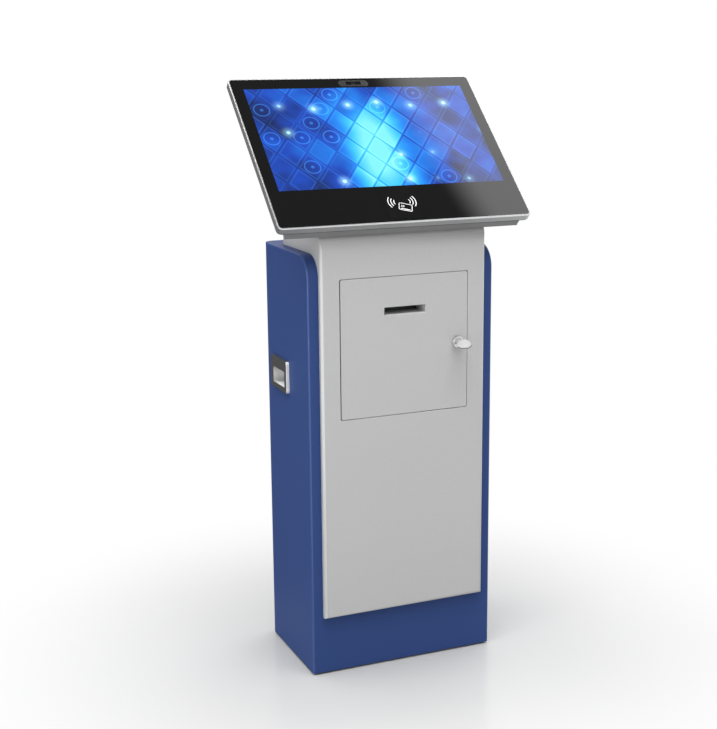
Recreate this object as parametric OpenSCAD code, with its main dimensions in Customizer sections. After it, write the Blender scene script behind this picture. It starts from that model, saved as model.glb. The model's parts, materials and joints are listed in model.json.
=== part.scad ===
// Floor-standing visitor check-in kiosk: a sheet metal cabinet, a cover that runs up into a neck,
// and a slanted touch screen. Millimetres, front towards -Y, floor at z = 0.

/* [Overall] */
// Height from the floor to the top edge of the screen frame
overall_h = 1175; // [1050:1:1300]
// Gap under the cabinet that the levelling feet take up
floor_gap = 4; // [3:0.5:8]
// Thickness of the sheet metal
sheet_t = 2; // [1.5:0.1:2.5]
// Reveal beside the service door on its hinge side
panel_gap = 2; // [1.6:0.1:3]
// Running clearance of pins in bores, on the radius
run_gap = 0.05; // [0.03:0.01:0.08]
// Clearance of loosely fitted pieces
fit_gap = 0.3; // [0.2:0.05:0.5]

/* [Cabinet] */
// Width of the cabinet
cab_w = 395; // [380:1:420]
// Depth of the cabinet
cab_d = 254; // [245:1:254]
// Lower edge of the screen frame above the cabinet's top face
neck_rise = 59; // [50:1:70]
// Radius where the front turns into the top
cab_top_r = 45; // [30:1:50]
// Radius of the rear upright corners
cab_rear_r = 25; // [15:1:30]
// Width of the side panels' folded front and top edges
side_rim = 6; // [5:0.5:10]
// Thickness of the base plate
base_t = 3; // [2:0.5:5]

/* [Front cover and neck] */
// Width of the cover and neck
cover_w = 350; // [335:1:360]
// How far the cover stands in front of the cabinet
cover_proud = 14; // [13:0.5:17]
// Height of the cover's lower edge
cover_z0 = 122; // [100:1:150]
// Radius of the cover's outer edges
cover_edge_r = 8; // [4:0.5:11]
// Where the neck ends at the back, from the front of the cabinet
neck_d = 190; // [185:1:200]
// Where the front of the neck starts to curve back, below the lower edge of the screen frame
neck_bend_drop = 59; // [50:1:68]
// Radius of that curve
neck_bend_r = 75; // [65:1:85]
// Width of the flanges that fix the cover
flange_w = 14; // [12:1:16]

/* [Service door] */
// Cover beside the door, on each side
door_side = 39.5; // [36:0.5:46]
// Height of the door
door_h = 275; // [245:1:300]
// Upper edge of the door below the cabinet's top face
door_drop = 47; // [42:1:60]
// Corner radius of the door
door_r = 4; // [3:0.5:6]
// Reveal on the door's other three sides
door_reveal = 1; // [0.8:0.1:2]
// Depth of the door with its folded edges
door_depth = 15; // [13:0.5:15.5]
// Hinge axis from the door's left edge
hinge_in = 10; // [9:0.5:12]
// Hinge axis behind the door's face
hinge_back = 5.5; // [5.2:0.1:5.6]
// Radius of the hinge pins
hinge_pin_r = 2.5; // [2:0.1:2.6]

/* [Paper slot] */
// Width of the slot in the door
slot_w = 88; // [80:1:92]
// Height of the slot in the door
slot_h = 15; // [13:0.5:17]
// Upper edge of the slot below the top of the door
slot_drop = 60; // [55:1:65]
// Depth of the painted duct behind the slot, from the door's face
duct_depth = 30; // [24:1:34]
// Depth of the black chute that follows it
chute_depth = 14; // [10:1:18]
// Wall of the duct and the chute
chute_wall = 2; // [1.5:0.1:2.5]

/* [Lock and key] */
// Lock axis from the door's right edge
lock_in = 22.5; // [20:0.5:26]
// Lock axis above the door's lower edge
lock_up = 135; // [120:1:150]
// Radius of the lock's rim
lock_rim_r = 12; // [11:0.5:14]
// How far the rim stands out of the door
lock_proud = 7; // [5:0.5:9]
// Radius of the lock's threaded body
lock_body_r = 9; // [8.5:0.1:9.5]
// Depth of the lock's body behind the door's face
lock_body_d = 16; // [16:0.5:20]
// Radius of the turning plug
plug_r = 6.5; // [6.2:0.1:7]
// Length of the cam from the lock axis
cam_len = 32; // [30:0.5:34]
// Width of the cam
cam_w = 14; // [12:0.5:16]
// Angle of the keyway to the horizontal
key_angle = 35; // [0:1:60]
// How far the key stands out of the lock
key_reach = 50; // [42:0.5:56]
// Width of the key's bow
key_bow_w = 22; // [18:0.5:26]
// Width of the key's blade
key_blade_w = 8; // [7:0.1:8.5]
// Thickness of the key
key_t = 2.2; // [1.8:0.1:2.6]

/* [Side handles] */
// Middle of the handle from the front of the cabinet
handle_y = 155; // [148:1:165]
// Middle of the handle below the cabinet's top face
handle_drop = 257; // [253:1:290]
// Length of the handle's plate
handle_w = 92; // [86:1:100]
// Height of the handle's plate
handle_h = 65; // [62:1:72]
// How far the plate stands out of the cabinet
handle_proud = 6.5; // [4:0.5:9]
// Length of the grip recess
grip_w = 67; // [60:1:72]
// Height of the grip recess
grip_h = 32; // [28:1:36]
// Grip recess below the middle of the plate
grip_drop = 6; // [3:0.5:8]
// Depth of the grip recess behind the plate's face
grip_depth = 26; // [22:1:30]
// Wall of the grip recess
grip_wall = 2; // [1.5:0.1:3]

/* [Screen head] */
// Width of the screen frame
head_w = 530; // [480:1:600]
// Length of the screen frame up the slope
head_len = 390; // [360:1:420]
// Slope of the screen to the horizontal
head_tilt = 43; // [42:0.1:43.5]
// Lower edge of the frame in front of the cabinet
head_overhang = 37; // [34:1:40]
// Thickness of the screen frame
frame_t = 14; // [13.5:0.1:14.5]
// Visible rim of the frame around the glass
frame_lip = 3; // [2:0.1:4]
// Corner radius of the frame
frame_r = 10; // [7:0.5:14]
// Width of the ledge that carries the glass
frame_ledge = 20; // [19:0.5:21]
// Thickness of the touch glass
glass_t = 3; // [2.5:0.1:4]
// Depth of the glass below the rim
glass_sink = 0.3; // [0.1:0.1:0.5]
// Glass beside the picture, on each side
lcd_side = 24; // [22:0.5:32]
// Glass above the picture
lcd_top = 26; // [25:0.5:29]
// Glass below the picture
lcd_low = 90; // [84:1:100]
// Thickness of the display panel
lcd_t = 9; // [8:0.5:12]
// Metal edge of the display panel around the picture
lcd_margin = 3; // [2:0.1:3.5]
// Depth of the rear housing behind the glass
housing_depth = 50; // [48:0.5:54]
// Rear housing set in from the frame's sides and top
housing_inset = 20; // [18:0.5:22]
// Rear housing set in from the frame's lower edge
housing_low_inset = 3; // [2:0.5:5]
// Depth of the rear housing's straight walls behind the frame
housing_wall = 19; // [14:0.5:23]
// Lower slope of the rear housing
housing_low = 28; // [24:1:32]
// Upper slope of the rear housing
housing_high = 38; // [34:1:42]

/* [Camera] */
// Length of the camera's oval plate
cam_plate_w = 66; // [62:1:72]
// Height of the camera's oval plate
cam_plate_h = 18; // [16:0.5:18.5]
// Width of the camera's raised ring
cam_ring_w = 48; // [44:1:50]
// Height of the camera's raised ring
cam_ring_h = 15; // [13.5:0.5:15.5]
// Width of the camera's window
cam_window_w = 33; // [28:1:36]
// Height of the camera's window
cam_window_h = 9; // [8:0.5:10]

/* [Card reader] */
// Width of the reader field
pad_w = 76; // [70:1:84]
// Height of the reader field
pad_h = 74; // [66:1:76]
// Lower edge of the reader field above the edge of the glass
pad_low = 6; // [5:0.5:9]
// Thickness of the reader field
pad_t = 0.6; // [0.4:0.1:1]

/* [Printer] */
// Width of the printer
printer_w = 130; // [120:1:140]
// Depth of the printer
printer_d = 135; // [130:1:145]
// Height of the printer
printer_h = 118; // [108:1:124]
// Gap between the chute and the printer
printer_gap = 3; // [2:0.5:5]
// Radius of the paper roll
roll_r = 36; // [30:1:37]
// Width of the paper roll
roll_w = 80; // [72:1:82]
// Radius of the spindle
spindle_r = 8; // [6:0.5:10]
// Radius of the platen roller
platen_r = 6; // [5:0.5:7]

/* [Rear and base] */
// Width of the rear opening
rear_open_w = 316; // [280:1:350]
// Upper edge of the rear opening below the cabinet's top face
rear_open_drop = 44; // [38:1:80]
// Lower edge of the rear opening
rear_open_z = 116; // [110:1:124]
// How far the rear cover laps over the opening
rear_lap = 12; // [10:0.5:14]
// Side of the square fan
fan_size = 80; // [70:1:92]
// Thickness of the fan
fan_t = 25; // [22:1:28]
// Number of fan blades
fan_blades = 7; // [5:1:9]
// Spacing of the floor anchors across the base
anchor_dx = 260; // [240:2:280]
// Spacing of the floor anchors along the base
anchor_dy = 190; // [184:1:194]
// Radius of the floor anchor holes
anchor_r = 5.5; // [4.5:0.5:6.5]
// Feet set in from the sides of the cabinet
foot_in = 27; // [26:0.5:30]
// Radius of a foot's pad
foot_r = 18; // [15:0.5:20]
// Radius of a foot's stud
foot_stud_r = 5; // [4:0.5:6]
// Height of a foot's stud above the floor
foot_stud_h = 32; // [26:1:40]

/* [Hidden] */
$fn = 64;
// How far a cut runs past the faces that it opens
over = 1;
// How far a solid runs into the one that it is joined to
joined = 0.01;
// Finishes
cabinet_blue = "#3C5080";
cover_grey = "#BDBDBD";
frame_silver = "#C9CBCE";
glass_black = "#161618";
screen_blue = "#2A5BD0";
steel = "#B4B7BA";
dark_steel = "#5B5D60";
black_plastic = "#1C1C1E";
board_green = "#2F6B45";
paper_white = "#F2F0EA";
casing_grey = "#55575A";

// Screen head: y up the slope from the frame's lower edge, z out of the glass
head_y0 = -head_overhang;
head_z0 = overall_h - head_len * sin(head_tilt);
head_back_y = head_y0 + head_len * cos(head_tilt) + frame_t * sin(head_tilt);
glass_back = -glass_sink - glass_t;
glass_w = head_w - 2 * frame_lip;
glass_y1 = head_len - frame_lip;
lcd_w = glass_w - 2 * lcd_side;
lcd_y1 = glass_y1 - lcd_top;
lcd_y0 = frame_lip + lcd_low;
lcd_back = glass_back - lcd_t;
housing_y0 = housing_low_inset;
housing_y1 = head_len - housing_inset;
housing_side = head_w / 2 - housing_inset;
// Side slope of the rear housing
housing_taper = 12;
// Where the rear housing's walls turn into its slopes, and the depth that the slopes take up
housing_turn = -frame_t - housing_wall;
housing_slope = housing_depth - frame_t - housing_wall;
camera_y = glass_y1 - lcd_top / 2;
// Corner radius of the camera's window
window_r = 1.4;
pad_y0 = frame_lip + pad_low;
pad_y1 = pad_y0 + pad_h;
// The height of a line under the head, at depth d behind the glass, above a point y behind the cabinet front
function under_head(y, d) =
    head_z0 + (y - head_y0 - d * sin(head_tilt)) * tan(head_tilt) - d * cos(head_tilt);

// Heights that follow the screen head
cab_h = head_z0 - neck_rise;
neck_bend_z = head_z0 - neck_bend_drop;
handle_z = cab_h - handle_drop;
rear_open_h = cab_h - rear_open_drop - rear_open_z;

// Cover, door and lock
cover_y = -cover_proud;
cover_back = cover_y + sheet_t;
door_w = cover_w - 2 * door_side;
door_x0 = -door_w / 2;
door_z0 = cab_h - door_drop - door_h;
door_mid_z = door_z0 + door_h / 2;
hinge_x = door_x0 + hinge_in;
hinge_y = cover_y + hinge_back;
slot_mid_z = door_z0 + door_h - slot_drop - slot_h / 2;
slot_r = 0.5;
lock_x = door_w / 2 - lock_in;
lock_z = door_z0 + lock_up;
lock_clear = 0.3;
cam_y0 = lock_body_d + lock_clear;
cam_t = 2;
strike_x0 = door_w / 2 + panel_gap + over;
strike_w = 14;
strike_h = 44;
opening_x = strike_x0 + strike_w + over;
opening_margin = opening_x - door_w / 2;
key_tip_y = cover_y - lock_proud - key_reach;

// Rear corners, which leave the rear cover a flat seat
rear_seat = 2;
rear_r = min(cab_rear_r, (cab_w - rear_open_w) / 2 - rear_lap - rear_seat);

// Rear cover, its screws and the whole depth, from which the origin follows
rear_t = 1.6;
rear_screw_r = 2;
function head_thickness(screw_r) = 0.9 * screw_r;
rear_y = cab_d + rear_t + head_thickness(rear_screw_r);
origin_y = -(max(head_back_y, rear_y) + min(key_tip_y, head_y0)) / 2;

// Base, feet and shelf
base_z = floor_gap + base_t;
foot_x = cab_w / 2 - foot_in;
foot_y_front = foot_in;
foot_y_rear = cab_d - foot_in;
inner_x = cab_w / 2 - sheet_t;
side_d = cab_d - rear_r;
anchor_y = cab_d / 2;
nut_h = 9;
nut_r = 11;
// Paper path below the top of the printer
paper_exit_drop = 14;
paper_exit_h = printer_h - paper_exit_drop;
printer_y0 = cover_y + duct_depth + chute_depth + printer_gap;
printer_z0 = slot_mid_z - paper_exit_h;
shelf_z0 = printer_z0 - sheet_t;
shelf_y0 = 6;
shelf_y1 = side_d - over;
shelf_lip = 16;
duct_w = 20;
duct_d = 24;
duct_y0 = 24;
duct_gap = 1;

// Fixing screws, and how far they reach past the sheets that they hold
screw_past = 4;
cover_screw_r = 2;
frame_screw_r = 1.5;
frame_screw_l = 7;
housing_flange_t = 2;

// Box of the grip recess and its place on the plate
cup_w = grip_w + 2 * grip_wall;
cup_h = grip_h + 2 * grip_wall;
grip_z = handle_z - grip_drop;

// Bracket inside the neck
bracket_w = 140;
bracket_t = 3;
bracket_y0 = 70;
bracket_back_gap = 8;
bracket_y1 = neck_d - sheet_t - bracket_back_gap;
bracket_hem = 14;
bracket_screw_r = 3;
head_screw_pitch = 100;
head_screw_r = 2;
bracket_head_y0 = (bracket_y0 - head_y0 - housing_depth * sin(head_tilt)) / cos(head_tilt);
bracket_head_y1 = (bracket_y1 - head_y0 - housing_depth * sin(head_tilt)) / cos(head_tilt);
bracket_head_mid = (bracket_head_y0 + bracket_head_y1) / 2;

// Cable opening in the top of the cabinet, beside the head bracket
port_w = 60;
port_d = 70;
port_in = 10;
port_x = bracket_w / 2 + port_in + port_w / 2;
port_y = (bracket_y0 + bracket_y1) / 2;

// Mains inlet at the foot of the back
inlet_x = -90;
inlet_z = 62;
inlet_w = 64;
inlet_h = 40;
inlet_rim = 5;
inlet_flange_t = 2.4;
inlet_depth = 30;
rocker_w = 14;
rocker_x = 15;
rocker_r = 11;
rocker_in = 4;
rocker_y = cab_d - rocker_in;
rocker_tilt = 7;
rocker_pin_r = 1.5;
rocker_pin_l = 2;

// Fan in the middle of the upper part of the rear opening
fan_drop = 20;
fan_z = rear_open_z + rear_open_h - fan_size / 2 - fan_drop;
fan_y0 = cab_d - fan_t;
fan_wall = 2;
fan_duct_r = fan_size / 2 - fan_wall;
fan_hub_r = fan_size * 0.18;
fan_axle_r = 1.5;
fan_back_t = 3;
fan_end_gap = 6;

// Hinge, plug and key
hinge_block_h = 12;
plug_in = 0.6;
plug_face = plug_in - lock_proud;
key_play = 0.4;
key_depth = 14;
cam_screw_r = 2;
cam_screw_l = 6;

// Printer, from its front and its foot
printer_wall = 4;
roll_side = 2;
roll_room = 4;
roll_drop = 8;
bay_half = roll_w / 2 + roll_side;
bay_y0 = 36;
bay_y1 = bay_y0 + 2 * roll_r + 2 * roll_room;
roll_y = (bay_y0 + bay_y1) / 2;
roll_z = printer_h - roll_r - roll_drop;
bay_z0 = roll_z - roll_r - roll_room;
platen_y = 18;
platen_z = paper_exit_h - platen_r;
platen_axle_r = 3;
lid_t = 5;
lid_gap = 0.5;
lid_pin_r = 2;
lid_lug_w = 12;
lid_lug_r = 5;
lid_lug_in = 3;
lid_pin_y = printer_d - lid_lug_r - lid_lug_in;
lid_pin_z = printer_h + lid_gap + lid_lug_r;

// Moves the drawing, which has the front of the cabinet at y = 0, to the origin of the part
module placed() {
    translate([0, origin_y, 0]) children();
}

// Stands on the tilted head
module on_head() {
    translate([0, head_y0, head_z0]) rotate([head_tilt, 0, 0]) children();
}

// Extrudes an outline drawn as (y, z) across the width w, about the middle
module across(w) {
    rotate([90, 0, 90]) linear_extrude(w, center = true) children();
}

// Cylinder along x, y and z
module along_x(r, x0, x1) {
    translate([x0, 0, 0]) rotate([0, 90, 0]) cylinder(r = r, h = x1 - x0);
}

module along_y(r, y0, y1) {
    translate([0, y0, 0]) rotate([-90, 0, 0]) cylinder(r = r, h = y1 - y0);
}

module along_z(r, z0, z1) {
    translate([0, 0, z0]) cylinder(r = r, h = z1 - z0);
}

// Rectangle with round corners about the middle
module round_rect(w, h, r) {
    square([w - 2 * r, h], center = true);
    square([w, h - 2 * r], center = true);
    for (x = [-1, 1], y = [-1, 1]) translate([x * (w / 2 - r), y * (h / 2 - r)]) circle(r);
}

// Upright plate facing the front, from y0 to y1
module front_slab(w, h, r, y0, y1) {
    translate([0, y1, 0]) rotate([90, 0, 0]) linear_extrude(y1 - y0) round_rect(w, h, r);
}

// Upright plate facing the side, from x0 to x1
module side_slab(w, h, r, x0, x1) {
    translate([x0, 0, 0]) rotate([90, 0, 90]) linear_extrude(x1 - x0) round_rect(w, h, r);
}

// Flat plate from z0 to z1
module flat_slab(w, d, r, z0, z1) {
    translate([0, 0, z0]) linear_extrude(z1 - z0) round_rect(w, d, r);
}

// Plate on the head between two heights up the slope
module head_slab(w, y0, y1, r, z0, z1) {
    translate([0, (y0 + y1) / 2, 0]) flat_slab(w, y1 - y0, r, z0, z1);
}

// Pan head screw pointing to +z with its head below z = 0
module screw(r, len) {
    head_t = head_thickness(r);
    head_r = 2 * r;
    socket_r = 0.9 * r;
    difference() {
        union() {
            along_z(r, -head_t / 2, len);
            along_z(head_r, -head_t, 0);
        }
        translate([0, 0, -head_t - over]) cylinder(r = socket_r, h = over + head_t / 2, $fn = 6);
    }
}

// Slot with rounded ends through an upright plate
module vent_slot(w, h, y0, y1) {
    end_r = 0.4 * h;
    front_slab(w, h, end_r, y0, y1);
}

// Side outline of the cabinet as (y, z), set in by inset, from z0 up and back to y1
module cab_side(inset, z0, y1) {
    r = cab_top_r - inset;
    translate([inset, z0]) square([y1 - inset, cab_h - inset - r - z0]);
    translate([inset + r, z0]) square([y1 - inset - r, cab_h - inset - z0]);
    translate([inset + r, cab_h - inset - r]) circle(r);
}

// Plan of the cabinet, set in by inset at the sides and the back, from y0 back
module cab_plan(inset, y0) {
    half = cab_w / 2 - inset;
    r = rear_r - inset;
    y1 = cab_d - inset;
    translate([-half, y0]) square([2 * half, y1 - r - y0]);
    translate([r - half, y0]) square([2 * (half - r), y1 - y0]);
    for (s = [-1, 1]) translate([s * (half - r), y1 - r]) circle(r);
}

// The whole space that the cabinet takes up
module cab_outside() {
    intersection() {
        linear_extrude(cab_h) cab_plan(0, 0);
        across(cab_w) cab_side(0, 0, cab_d);
    }
}

// Places of the cover's fixing screws
module each_cover_screw() {
    rows = 4;
    end_low = 60;
    end_high = 25;
    z_low = cover_z0 + end_low;
    z_high = cab_h - cab_top_r - end_high;
    x = cover_w / 2 - sheet_t - flange_w / 2;
    for (s = [-1, 1], i = [0 : rows - 1]) {
        translate([s * x, 0, z_low + i * (z_high - z_low) / (rows - 1)]) children();
    }
}

// Places of the four feet
module each_foot() {
    for (x = [-foot_x, foot_x], y = [foot_y_front, foot_y_rear]) translate([x, y, 0]) children();
}

module base_plate() {
    color(dark_steel) placed() difference() {
        translate([0, 0, floor_gap]) linear_extrude(base_t) cab_plan(sheet_t, sheet_t);
        for (x = [-1, 1], y = [-1, 1]) {
            translate([x * anchor_dx / 2, anchor_y + y * anchor_dy / 2, 0]) {
                along_z(anchor_r, 0, base_z + over);
            }
        }
        each_foot() along_z(foot_stud_r + fit_gap, 0, base_z + over);
    }
}

module foot_nuts() {
    color(steel) placed() each_foot() difference() {
        translate([0, 0, base_z]) cylinder(r = nut_r, h = nut_h, $fn = 6);
        along_z(foot_stud_r + run_gap, base_z - over, base_z + nut_h + over);
    }
}

module foot(x, y) {
    pad_top = floor_gap - fit_gap;
    color(black_plastic) placed() translate([x, y, 0]) {
        along_z(foot_r, 0, pad_top);
        along_z(foot_stud_r, pad_top / 2, foot_stud_h);
    }
}

module side_panel(side) {
    color(cabinet_blue) placed() difference() {
        translate([side * (cab_w - side_rim) / 2, 0, 0]) across(side_rim) cab_side(0, floor_gap, side_d);
        translate([side * (cab_w / 2 - sheet_t - side_rim / 2), 0, 0]) across(side_rim) {
            cab_side(sheet_t, 0, side_d + over);
        }
        translate([side * cab_w / 2, handle_y, grip_z]) {
            cube([4 * sheet_t, cup_w + 2 * fit_gap, cup_h + 2 * fit_gap], center = true);
        }
    }
}

// Places of the screws that hold the head bracket down
module each_bracket_foot() {
    for (s = [-1, 1], y = [bracket_y0 + bracket_hem, bracket_y1 - bracket_hem]) {
        translate([s * (bracket_w / 2 - bracket_hem), y, cab_h + bracket_t]) children();
    }
}

module front_wrap() {
    color(cabinet_blue) placed() difference() {
        intersection() {
            across(2 * inner_x) difference() {
                cab_side(0, floor_gap, cab_d);
                cab_side(sheet_t, 0, cab_d + over);
            }
            linear_extrude(cab_h) cab_plan(sheet_t, 0);
        }
        for (s = [-1, 1]) translate([s * cab_w / 2, side_d / 2, cab_h / 2]) {
            cube([2 * side_rim, side_d, cab_h + 2 * over], center = true);
        }
        translate([-opening_x, -over, door_z0 - opening_margin]) {
            cube([2 * opening_x, cab_top_r / 2, door_h + 2 * opening_margin]);
        }
        translate([port_x, port_y, cab_h]) cube([port_w, port_d, 4 * sheet_t], center = true);
        each_cover_screw() along_y(cover_screw_r + run_gap, -over, sheet_t + over);
        each_bracket_foot() along_z(bracket_screw_r + run_gap, -bracket_t - sheet_t - over, 0);
    }
}

// Places of the rear cover's screws
module each_rear_screw() {
    rows = 4;
    z0 = rear_open_z - rear_lap / 2;
    z1 = rear_open_z + rear_open_h + rear_lap / 2;
    for (s = [-1, 1], i = [0 : rows - 1]) {
        translate([s * (rear_open_w + rear_lap) / 2, cab_d, z0 + i * (z1 - z0) / (rows - 1)]) children();
    }
}

module rear_frame() {
    color(cabinet_blue) placed() difference() {
        translate([0, 0, floor_gap]) linear_extrude(cab_h - floor_gap) difference() {
            cab_plan(0, 0);
            cab_plan(sheet_t, -over);
            translate([-cab_w / 2 - over, -over]) square([cab_w + 2 * over, side_d + over]);
        }
        translate([-rear_open_w / 2, cab_d - sheet_t - over, rear_open_z]) {
            cube([rear_open_w, sheet_t + 2 * over, rear_open_h]);
        }
        translate([inlet_x, cab_d, inlet_z]) {
            cube([inlet_w - 2 * inlet_rim, 3 * sheet_t, inlet_h - 2 * inlet_rim], center = true);
        }
        each_rear_screw() along_y(rear_screw_r + run_gap, -sheet_t - over, over);
    }
}

module rear_cover() {
    corner_r = 6;
    slot_l = 110;
    slot_t = 5;
    pitch = 14;
    rows = 12;
    slots_up = 60;
    low_z = rear_open_z + slots_up;
    grille_pitch = 9;
    grille_rows = floor(fan_duct_r / grille_pitch);
    color(cover_grey) placed() difference() {
        translate([0, cab_d, rear_open_z + rear_open_h / 2]) {
            front_slab(rear_open_w + 2 * rear_lap, rear_open_h + 2 * rear_lap, corner_r, 0, rear_t);
        }
        for (s = [-1, 1], i = [0 : rows - 1]) {
            translate([s * rear_open_w / 5, cab_d, low_z + i * pitch]) {
                vent_slot(slot_l, slot_t, -over, rear_t + over);
            }
        }
        for (i = [-grille_rows : grille_rows]) {
            half = sqrt(fan_duct_r * fan_duct_r - pow(i * grille_pitch, 2));
            translate([0, cab_d, fan_z + i * grille_pitch]) {
                vent_slot(max(2 * half, 3 * slot_t), slot_t, -over, rear_t + over);
            }
        }
        each_rear_screw() along_y(rear_screw_r + run_gap, -over, rear_t + over);
    }
}

module rear_cover_screws() {
    color(steel) placed() each_rear_screw() {
        translate([0, rear_t, 0]) rotate([90, 0, 0]) screw(rear_screw_r, rear_t + sheet_t + screw_past);
    }
}

// Plan of the cover and neck, set in by inset, back to y1
module cover_plan(inset, y1) {
    half = cover_w / 2 - inset;
    r = cover_edge_r - inset;
    y0 = cover_y + inset;
    translate([-half, y0 + r]) square([2 * half, y1 - y0 - r]);
    translate([r - half, y0]) square([2 * (half - r), y1 - y0]);
    for (s = [-1, 1]) translate([s * (half - r), y0 + r]) circle(r);
}

// Side outline of the cover and neck as (y, z), set in by inset, back to y1
module cover_side(inset, y1) {
    r = cover_edge_r - inset;
    y0 = cover_y + inset;
    z0 = cover_z0 + inset;
    bend_y = cover_y + neck_bend_r;
    translate([y0, z0 + r]) square([y1 - y0, neck_bend_z - z0 - r]);
    translate([y0 + r, z0]) square([y1 - y0 - r, neck_bend_z - z0]);
    translate([bend_y, z0]) square([y1 - bend_y, overall_h - z0]);
    translate([y0 + r, z0 + r]) circle(r);
    translate([bend_y, neck_bend_z]) circle(neck_bend_r - inset);
}

module cover_space(inset, y1) {
    intersection() {
        linear_extrude(overall_h) cover_plan(inset, y1);
        across(cover_w) cover_side(inset, y1);
    }
}

// How far the corner of a wall and a slope moves along the wall when both are set in by inset
function corner_shift(inset, run, fall) = inset * (norm([run, fall]) - fall) / run;

// Outline of the rear housing as (y, z) on the head, set in by inset and open by rise towards the glass
module housing_side_outline(inset, rise) {
    low = housing_low + corner_shift(inset, housing_slope, housing_low);
    high = housing_high + corner_shift(inset, housing_slope, housing_high);
    polygon([
        [housing_y0 + inset, rise - frame_t],
        [housing_y0 + inset, housing_turn + corner_shift(inset, housing_low, housing_slope)],
        [housing_y0 + low, inset - housing_depth],
        [housing_y1 - high, inset - housing_depth],
        [housing_y1 - inset, housing_turn + corner_shift(inset, housing_high, housing_slope)],
        [housing_y1 - inset, rise - frame_t]
    ]);
}

// Outline of the rear housing as (x, z) on the head
module housing_front_outline(inset, rise) {
    wide = housing_side - inset;
    narrow = housing_side - housing_taper - corner_shift(inset, housing_slope, housing_taper);
    turn = housing_turn + corner_shift(inset, housing_taper, housing_slope);
    polygon([
        [-wide, rise - frame_t],
        [-wide, turn],
        [-narrow, inset - housing_depth],
        [narrow, inset - housing_depth],
        [wide, turn],
        [wide, rise - frame_t]
    ]);
}

module housing_space(inset, rise) {
    intersection() {
        across(head_w) housing_side_outline(inset, rise);
        translate([0, head_len, 0]) rotate([90, 0, 0]) linear_extrude(head_len) {
            housing_front_outline(inset, rise);
        }
    }
}

// Everything on the glass side of the rear housing's outside
module above_housing() {
    on_head() across(head_w) {
        far = 2 * head_len;
        polygon([
            [housing_y0, housing_turn],
            [housing_y0 + housing_low, -housing_depth],
            [far, -housing_depth],
            [far, far],
            [housing_y0, far]
        ]);
    }
}

module front_cover() {
    flange_x = cover_w / 2 - sheet_t - flange_w / 2;
    flange_z1 = cab_h - cab_top_r;
    opening_w = door_w + panel_gap + door_reveal;
    opening_h = door_h + 2 * door_reveal;
    color(cover_grey) placed() difference() {
        union() {
            difference() {
                cover_space(0, neck_d);
                cover_space(sheet_t, neck_d + over);
                cab_outside();
                above_housing();
            }
            for (s = [-1, 1]) translate([s * flange_x, -sheet_t / 2, (cover_z0 + flange_z1) / 2]) {
                cube([flange_w + 2 * joined, sheet_t, flange_z1 - cover_z0 - 2 * sheet_t], center = true);
            }
        }
        translate([(door_reveal - panel_gap) / 2, cover_y, door_mid_z]) {
            front_slab(opening_w, opening_h, door_r, -over, sheet_t + over);
        }
        each_cover_screw() along_y(cover_screw_r + run_gap, -sheet_t - over, over);
    }
}

module cover_screws() {
    color(steel) placed() each_cover_screw() {
        translate([0, sheet_t, 0]) rotate([90, 0, 0]) screw(cover_screw_r, 2 * sheet_t + screw_past);
    }
}

module neck_back() {
    slot_l = 90;
    slot_t = 5;
    rows = 5;
    pitch = 15;
    slots_up = 50;
    half = cover_w / 2 - sheet_t;
    color(cover_grey) placed() difference() {
        translate([-half, neck_d - sheet_t, cab_h]) cube([2 * half, sheet_t, overall_h - cab_h]);
        above_housing();
        for (i = [0 : rows - 1]) translate([0, neck_d - sheet_t, cab_h + slots_up + i * pitch]) {
            vent_slot(slot_l, slot_t, -over, sheet_t + over);
        }
    }
}

// Places of the screws between the bracket and the rear housing
module each_head_screw() {
    half = head_screw_pitch / 2;
    for (x = [-half, half], y = [-half, half]) {
        translate([x, bracket_head_mid + y, -housing_depth]) children();
    }
}

module head_bracket() {
    plate_in = 2 * bracket_t;
    color(dark_steel) placed() difference() {
        union() {
            translate([-bracket_w / 2, bracket_y0, cab_h]) {
                cube([bracket_w, bracket_y1 - bracket_y0, bracket_t]);
            }
            for (s = [-1, 1]) translate([s * (bracket_w - bracket_t) / 2, 0, 0]) across(bracket_t) polygon([
                [bracket_y0, cab_h],
                [bracket_y1, cab_h],
                [bracket_y1, under_head(bracket_y1, housing_depth)],
                [bracket_y0, under_head(bracket_y0, housing_depth)]
            ]);
            on_head() translate([-bracket_w / 2, bracket_head_y0 + plate_in, -housing_depth - bracket_t]) {
                cube([bracket_w, bracket_head_y1 - bracket_head_y0 - 2 * plate_in, bracket_t]);
            }
        }
        each_bracket_foot() along_z(bracket_screw_r + run_gap, -bracket_t - over, over);
        on_head() each_head_screw() along_z(head_screw_r + run_gap, -bracket_t - over, over);
    }
}

module bracket_screws() {
    color(steel) placed() {
        each_bracket_foot() rotate([180, 0, 0]) screw(bracket_screw_r, bracket_t + sheet_t + screw_past);
        on_head() each_head_screw() translate([0, 0, -bracket_t]) {
            screw(head_screw_r, bracket_t + sheet_t + screw_past);
        }
    }
}

// Places of the screws along the top and the sides of the frame's back
module each_frame_screw() {
    edge = frame_lip + (housing_inset - frame_lip) / 2;
    columns = 4;
    rows = 3;
    pitch_x = (head_w - 2 * edge - 4 * frame_r) / (columns - 1);
    pitch_y = (head_len - 2 * edge - 4 * frame_r) / (rows - 1);
    for (i = [0 : columns - 1]) {
        translate([(i - (columns - 1) / 2) * pitch_x, head_len - edge, -frame_t]) children();
    }
    for (s = [-1, 1], i = [0 : rows - 1]) {
        y = head_len / 2 + (i - (rows - 1) / 2) * pitch_y;
        translate([s * (head_w / 2 - edge), y, -frame_t]) children();
    }
}

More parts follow.
